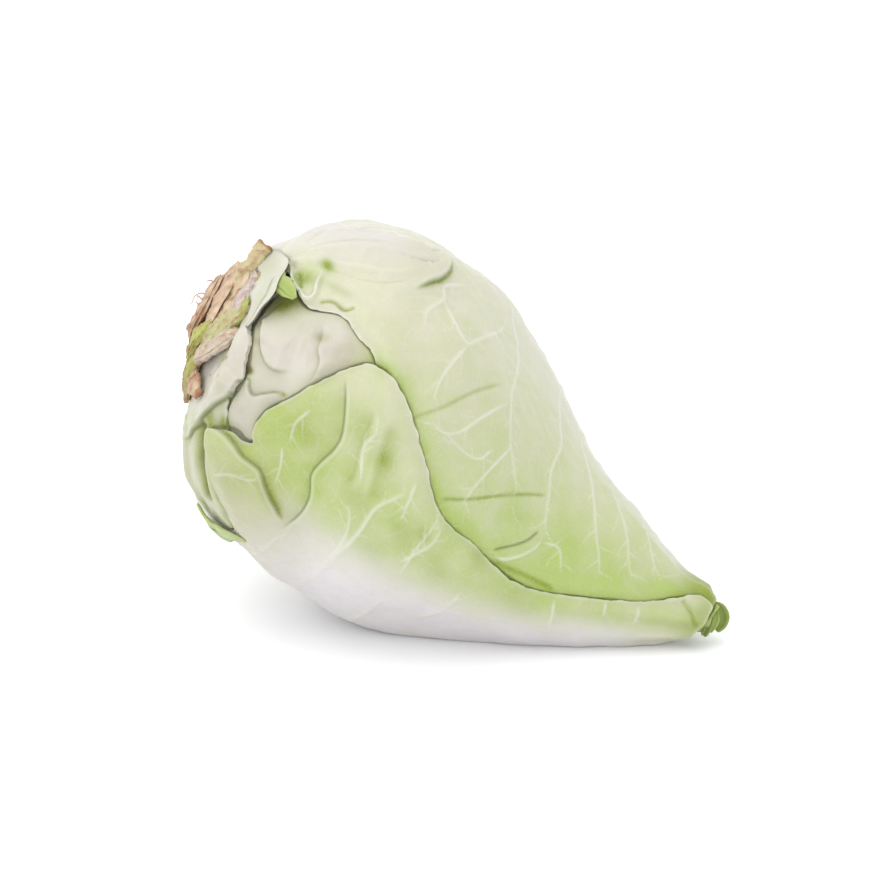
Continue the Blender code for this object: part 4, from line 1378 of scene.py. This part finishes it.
def make_heart():
    """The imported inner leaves, folded one over another, and their rolled tips."""
    runs = np.concatenate([np.linspace(0.5, 24, 60), np.linspace(25, 285.5, 120)]) * MM
    columns = 140
    turns = np.arange(columns) * 2 * math.pi / columns
    run, turn = (grid.ravel() for grid in np.meshgrid(runs, turns, indexing="ij"))
    relief = Relief(run, turn)
    # Folds where the heart's leaves overlap, with painted shadow lines and shade at their feet.
    for rows in HEART_FOLDS:
        relief.fold(rows, 1.0, 20, 1, 0.9, 0.3)
    covered = np.max([HEAD.depths[name].at(run, turn) for name in LEAVES], axis=0)
    knob = (1 - ease((covered / MM + 1.3) / 0.9)) * (1 - ease((run / MM - 24) / 4))
    lift = np.minimum(relief.lift, 1.0) - 2.2 + knob * 5.3
    relief.amount["green"] += 0.45 + 0.5 * knob
    relief.amount["deep"] += 0.6 * ease((covered / MM + 3.0) / 1.5) * knob
    points = HEAD.surface(run, turn, lift * MM)
    depth = (points - TIP) @ ALONG
    blunt = (4.4 + 0.5 * np.sin(3 * turn)) * MM
    points += np.multiply.outer(np.maximum(blunt - depth, 0), ALONG)
    cluster = Cluster()
    tints = {tint: np.concatenate([value, [0, 0]]) for tint, value in relief.amount.items()}
    cluster.add(with_ends(points, columns), ring_faces(len(runs), columns), **tints)
    # The rolled tips, dark green, with painted shade deepest in each one's groove.
    for rows, dark in TIP_LOBES:
        points, faces, groove, _ = lobe(rows, TOWARDS_VIEW, groove=0.6)
        cluster.add(points, faces, green=1.0, deep=0.5 + 0.5 * dark, dark=np.clip(0.35 + groove, 0, 1) * dark)
    mesh = cluster.mesh("heart")
    spare = np.zeros(len(mesh.vertices) - len(run))
    add_chart(mesh, np.concatenate([run, spare]), np.concatenate([turn, spare]))
    mesh.set_sharp_from_angle(angle=SHARP_FOLD)
    finish_piece(add_piece("heart", mesh, leaf_skin("heart")), "heart")


# The cut stem: how far its middle lies over the axis, then (distance from the tip, radius).
STEM_RISE = 15.0
STEM_OUTLINE = (
    (231.0, 13.0), (233.5, 16.5), (237.0, 17.6), (241.0, 17.4), (244.0, 16.8), (246.0, 15.8), (246.6, 14.4),
    (245.4, 9.5), (244.6, 4.0),
)
# The slabs of leaf stalk left round the stem: rows of (run, turn, height over the leaves, half the
# width, half the thickness), and their tints.
SLABS = (
    (((283, 86, 0.5, 3.0, 0.9), (276, 72, 2.2, 6.0, 1.3), (271, 54, 3.0, 6.8, 1.5), (271, 36, 2.8, 6.0, 1.4),
      (276, 16, 1.6, 3.4, 1.0)), {"dry": 0.15}),
    (((284, 74, 2.5, 2.5, 1.0), (281, 56, 4.4, 5.0, 1.3), (280, 34, 4.8, 5.2, 1.4), (281, 12, 4.4, 3.8, 1.2),
      (283, -6, 3.0, 2.2, 1.0)), {"dry": 0.3}),
    (((272, 78, 0.6, 2.4, 0.8), (264, 66, 2.4, 5.0, 1.1), (259, 54, 2.9, 5.2, 1.2), (259, 42, 2.8, 4.8, 1.1),
      (264, 30, 2.0, 2.8, 0.9)), {"dry": 0.05, "green": 0.15}),
    (((262, 66, 0.5, 2.0, 0.8), (255, 57, 2.2, 3.6, 1.1), (251, 47, 2.6, 3.8, 1.2), (249, 39, 2.3, 3.4, 1.1),
      (252, 29, 1.0, 1.8, 0.8)), {"lilac": 0.9}),
    (((252, 62, 0.6, 1.0, 0.6), (249, 52, 1.6, 1.5, 0.8), (246, 42, 1.8, 1.6, 0.8), (245, 35, 1.6, 1.6, 0.8),
      (248, 28, 1.0, 1.0, 0.6)), {"green": 1.0}),
    (((244, 40, 0.5, 1.6, 0.7), (247, 35, 2.2, 3.6, 1.1), (252, 31, 3.0, 4.6, 1.2), (259, 27, 3.4, 4.6, 1.2),
      (267, 20, 3.0, 3.0, 0.9)), {"green": 0.8, "lilac": 0.2}),
    (((242, 29, 0.5, 1.4, 0.7), (246, 25, 2.2, 3.4, 1.0), (253, 20, 3.0, 4.2, 1.1), (261, 14, 3.2, 3.6, 1.1),
      (268, 5, 2.6, 2.4, 0.9)), {"green": 0.3, "lilac": 0.5}),
    (((266, 32, 2.6, 1.6, 0.9), (269, 22, 4.4, 3.4, 1.2), (272, 11, 4.8, 3.8, 1.3), (275, -4, 4.2, 3.2, 1.2),
      (280, -20, 2.0, 1.8, 0.9)), {"green": 1.0}),
    (((264, 12, 1.6, 1.4, 0.8), (266, 4, 3.4, 3.2, 1.1), (269, -7, 3.8, 3.2, 1.2), (273, -20, 2.4, 2.0, 0.9)),
     {"green": 1.0, "deep": 0.3}),
    (((285, 20, 2.0, 1.8, 1.0), (285, 8, 4.2, 3.4, 1.3), (284, -6, 3.6, 3.4, 1.4), (282, -20, 2.0, 2.4, 1.1)),
     {"deep": 0.45, "dry": 0.25}),
    (((283, -14, 1.0, 1.6, 1.0), (279, -19, 2.2, 3.2, 1.2), (273, -22, 2.2, 3.2, 1.2),
      (267, -26, 1.0, 2.0, 0.9)), {"deep": 0.55, "dry": 0.2}),
    (((271, -3, 1.0, 2.0, 0.9), (265, -2, 2.4, 3.6, 0.9), (258, -1, 2.6, 3.8, 0.8), (253, -1, 2.0, 2.8, 0.6),
      (249, -2, 1.4, 1.4, 0.4)), {"dry": 0.4}),
)
# The yellow stub that lies up against the leaves.
TALL_STUB = (
    (261, 58, 3.0, 2.2, 0.9), (257, 62, 3.6, 2.6, 1.0), (254, 66, 3.8, 2.8, 1.0), (251, 70, 3.8, 2.8, 1.0),
    (249.5, 72, 3.8, 2.7, 0.9),
)
# The root hairs beside the stem: places in millimetres.
ROOT_HAIRS = (
    ((-102.6, -3.2, 131.4), (-105.4, -3.8, 132.6), (-108.2, -4.3, 131.2), (-109.6, -4.6, 127.6)),
    ((-103.4, -3.4, 127.2), (-106.0, -3.9, 127.0), (-107.8, -4.3, 129.0)),
    ((-102.2, -3.0, 130.4), (-104.8, -3.5, 129.4), (-107.0, -3.9, 131.4), (-107.4, -4.0, 129.6)),
    ((-100.0, -2.0, 137.0), (-102.2, -2.2, 137.8), (-103.6, -2.4, 137.4)),
)


def over_leaves(rows):
    """Rows of (run, turn, height over the leaves, sizes) as those that lobe() takes, and where they face."""
    rows = np.array(rows, float)
    run, turn, stand = rows[:, 0] * MM, np.radians(rows[:, 1]), rows[:, 2] * MM
    lift = HEAD.wrap.at(run, turn) - LEAF_GAP - WRAP_DEPTH + HEAD.lumps.at(run, turn) + stand
    centre = place(run, turn, lift) / MM
    facing = place(run, turn, lift + MM) / MM - centre
    return np.hstack([centre, rows[:, 3:]]), facing


def fray(mesh, solid):
    """Creases the surface of the stump up to its first root hair, and browns it in its creases."""
    points, normals = (np.empty(3 * len(mesh.vertices), np.float32) for _ in range(2))
    mesh.vertices.foreach_get("co", points)
    mesh.vertices.foreach_get("normal", normals)
    points, normals = points.reshape(-1, 3), normals.reshape(-1, 3)
    rng = np.random.default_rng(12)
    crease = np.zeros(len(points))
    for size, height in ((7.0, 0.5), (4.0, 0.4), (2.2, 0.22)):
        for _ in range(3):
            direction = rng.normal(size=3)
            direction *= math.pi / (size * MM * np.linalg.norm(direction))
            crease += height * (1 - np.abs(np.sin(points @ direction + rng.uniform(0, 6)))) ** 3
    crease[solid:] = 0
    mesh.vertices.foreach_set("co", (points - normals * (crease * MM)[:, None]).ravel())
    layer = mesh.attributes["dry"].data
    dry = np.empty(len(points), np.float32)
    layer.foreach_get("value", dry)
    layer.foreach_set("value", np.clip(dry + 0.9 * (crease - 0.45), 0, 1).astype(np.float32))
    mesh.update()


def add_stem(cluster):
    """The cut stem, with an uneven brown end."""
    rows = smooth_line(STEM_OUTLINE, 5)
    columns = 96
    turns = np.arange(columns) * 2 * math.pi / columns
    axial, turn = np.meshgrid(rows[:, 0], turns, indexing="ij")
    uneven = 0.03 * np.sin(5 * turn + 1) + 0.02 * np.sin(13 * turn + axial) + 0.012 * np.sin(29 * turn)
    radius = rows[:, 1][:, None] * (1 + uneven)
    end = ease((axial - 240) / 5)
    ragged = 1.2 * np.sin(2 * turn + 2.6) + 0.5 * np.sin(7 * turn) + 0.3 * np.sin(17 * turn + radius)
    axial = axial + end * (ragged - 1.5 + 1.5 * np.sin(turn))
    points = from_axis(axial.ravel() * MM, radius.ravel() * MM, turn.ravel(), STEM_RISE * MM)
    dry = np.append(0.15 + 0.45 * end.ravel(), [0.0, 0.6])
    cluster.add(with_ends(points, columns), ring_faces(len(rows), columns), dry=dry)


def back_slabs():
    """The stalks behind the stem, which the photograph doesn't show, in the form of SLABS."""
    rng = np.random.default_rng(8)
    slabs = []
    for turn in range(98, 330, 17):
        turn += rng.uniform(-5, 5)
        lean, stride, width = rng.uniform(-5, 5), rng.uniform(1.2, 4.6), rng.uniform(4.2, 6.6)
        widths = [width - 0.5 * k + rng.uniform(-0.5, 0.5) for k in range(4)]
        rows = [
            (285.5 - stride * k, turn + lean * k, 0.7 + math.sin(k), widths[k], 0.7) for k in range(4)
        ]
        slabs.append((rows, {"green": rng.uniform(0, 0.6), "dry": rng.uniform(0, 0.2)}))
    return slabs


def add_stalks(cluster):
    """The stalks cut off round the stem, browned at their ends, and the tall stub."""
    for number, (rows, tints) in enumerate((*SLABS, *back_slabs())):
        points, faces, _, along = lobe(*over_leaves(rows), 2.8, fibre=0.16, seed=number)
        browned = 0.8 * ease((along - 0.93) / 0.05) + 0.6 * ease((0.05 - along) / 0.05)
        cluster.add(points, faces, **{**tints, "dry": tints.get("dry", 0) + browned})
    stub, _ = over_leaves(TALL_STUB)
    points, faces, _, along = lobe(stub, TOWARDS_VIEW, 3.6, cut=True, fibre=0.08, seed=77)
    cluster.add(points, faces, green=0.35, dry=0.9 * ease((along - 0.93) / 0.05))


def add_root_hairs(cluster):
    """Thin dry curls at the stem's foot."""
    for number, places in enumerate(ROOT_HAIRS):
        rows = [(*spot, 0.3 - 0.05 * k, 0.3 - 0.05 * k) for k, spot in enumerate(places)]
        points, faces, _, _ = lobe(rows, TOWARDS_VIEW, seed=number)
        cluster.add(points, faces, dry=1.0)


def make_stump():
    """The cut stem, the stalks cut off round it, a tall stub and a few root hairs."""
    cluster = Cluster()
    add_stem(cluster)
    add_stalks(cluster)
    solid = cluster.count
    add_root_hairs(cluster)
    mesh = cluster.mesh("stump")
    fray(mesh, solid)
    mesh.set_sharp_from_angle(angle=SHARP_CUT)
    finish_piece(add_piece("stump", mesh, stump_skin()), "stump")


def finish_piece(piece, node):
    """Puts a piece on the body and hides the imported part of that node."""
    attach(piece, "root")
    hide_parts(node)


# The soft lights: name, place in metres, size in metres and power in watts.
PANELS = (
    ("sky_panel", (-0.35, -0.25, 1.3), 1.5, 8.5),
    ("side_panel", (-1.1, -1.2, 0.7), 1.0, 1.2),
    ("low_panel", (0.15, -1.5, 0.2), 1.2, 6.0),
)


def make_floor():
    """A wide sheet of white paper."""
    bpy.ops.object.select_all(action="DESELECT")
    bpy.ops.mesh.primitive_plane_add(size=6)
    floor = bpy.context.object
    floor.name = "floor"
    paper, tree, shader = new_skin("white_paper")
    feed(tree, shader, {"Base Color": (0.9, 0.9, 0.9, 1), "Roughness": 0.9})
    floor.data.materials.append(paper)


def make_stage():
    """A white floor, a broad soft light from above and a pale room."""
    make_floor()
    for name, spot, size, power in PANELS:
        light = bpy.data.lights.new(name, "AREA")
        light.size = size
        light.energy = power
        lamp = bpy.data.objects.new(name, light)
        lamp.location = spot
        lamp.rotation_euler = Vector(spot).to_track_quat("Z", "Y").to_euler()
        bpy.context.scene.collection.objects.link(lamp)
    world = bpy.data.worlds.new("pale_room")
    bpy.context.scene.world = world
    world.use_nodes = True
    sky = world.node_tree.nodes["Background"].inputs
    sky[0].default_value = (0.97, 0.98, 1, 1)
    sky[1].default_value = 1.28
    bpy.context.scene.view_settings.view_transform = "Standard"


# Where the photograph was taken from.
VIEW_TURN = math.radians(11.57)
VIEW_RISE = math.radians(20.24)
VIEW_ROLL = math.radians(1.25)
VIEW_DISTANCE = 1.3
VIEW_CENTRE = Vector((-4.9, 2.5, 74.85)) * MM
VIEW_LENS = 128.8


def make_camera():
    """The camera, turned, raised and rolled as the photograph's was."""
    level = math.cos(VIEW_RISE)
    back = Vector((level * math.sin(VIEW_TURN), -level * math.cos(VIEW_TURN), math.sin(VIEW_RISE)))
    camera = bpy.data.objects.new("camera", bpy.data.cameras.new("camera"))
    camera.data.lens = VIEW_LENS
    camera.data.sensor_width = 36
    turn = back.to_track_quat("Z", "Y").to_matrix().to_4x4() @ Matrix.Rotation(VIEW_ROLL, 4, "Z")
    camera.matrix_world = Matrix.Translation(VIEW_CENTRE + back * VIEW_DISTANCE) @ turn
    bpy.context.scene.collection.objects.link(camera)
    bpy.context.scene.camera = camera


HEAD = Head()
make_stage()
make_camera()
make_heart()
for number, name in enumerate(LEAVES):
    blade = make_blade(name, number)
    if name == "leaf_collar":
        add_flaps(blade)
make_stump()
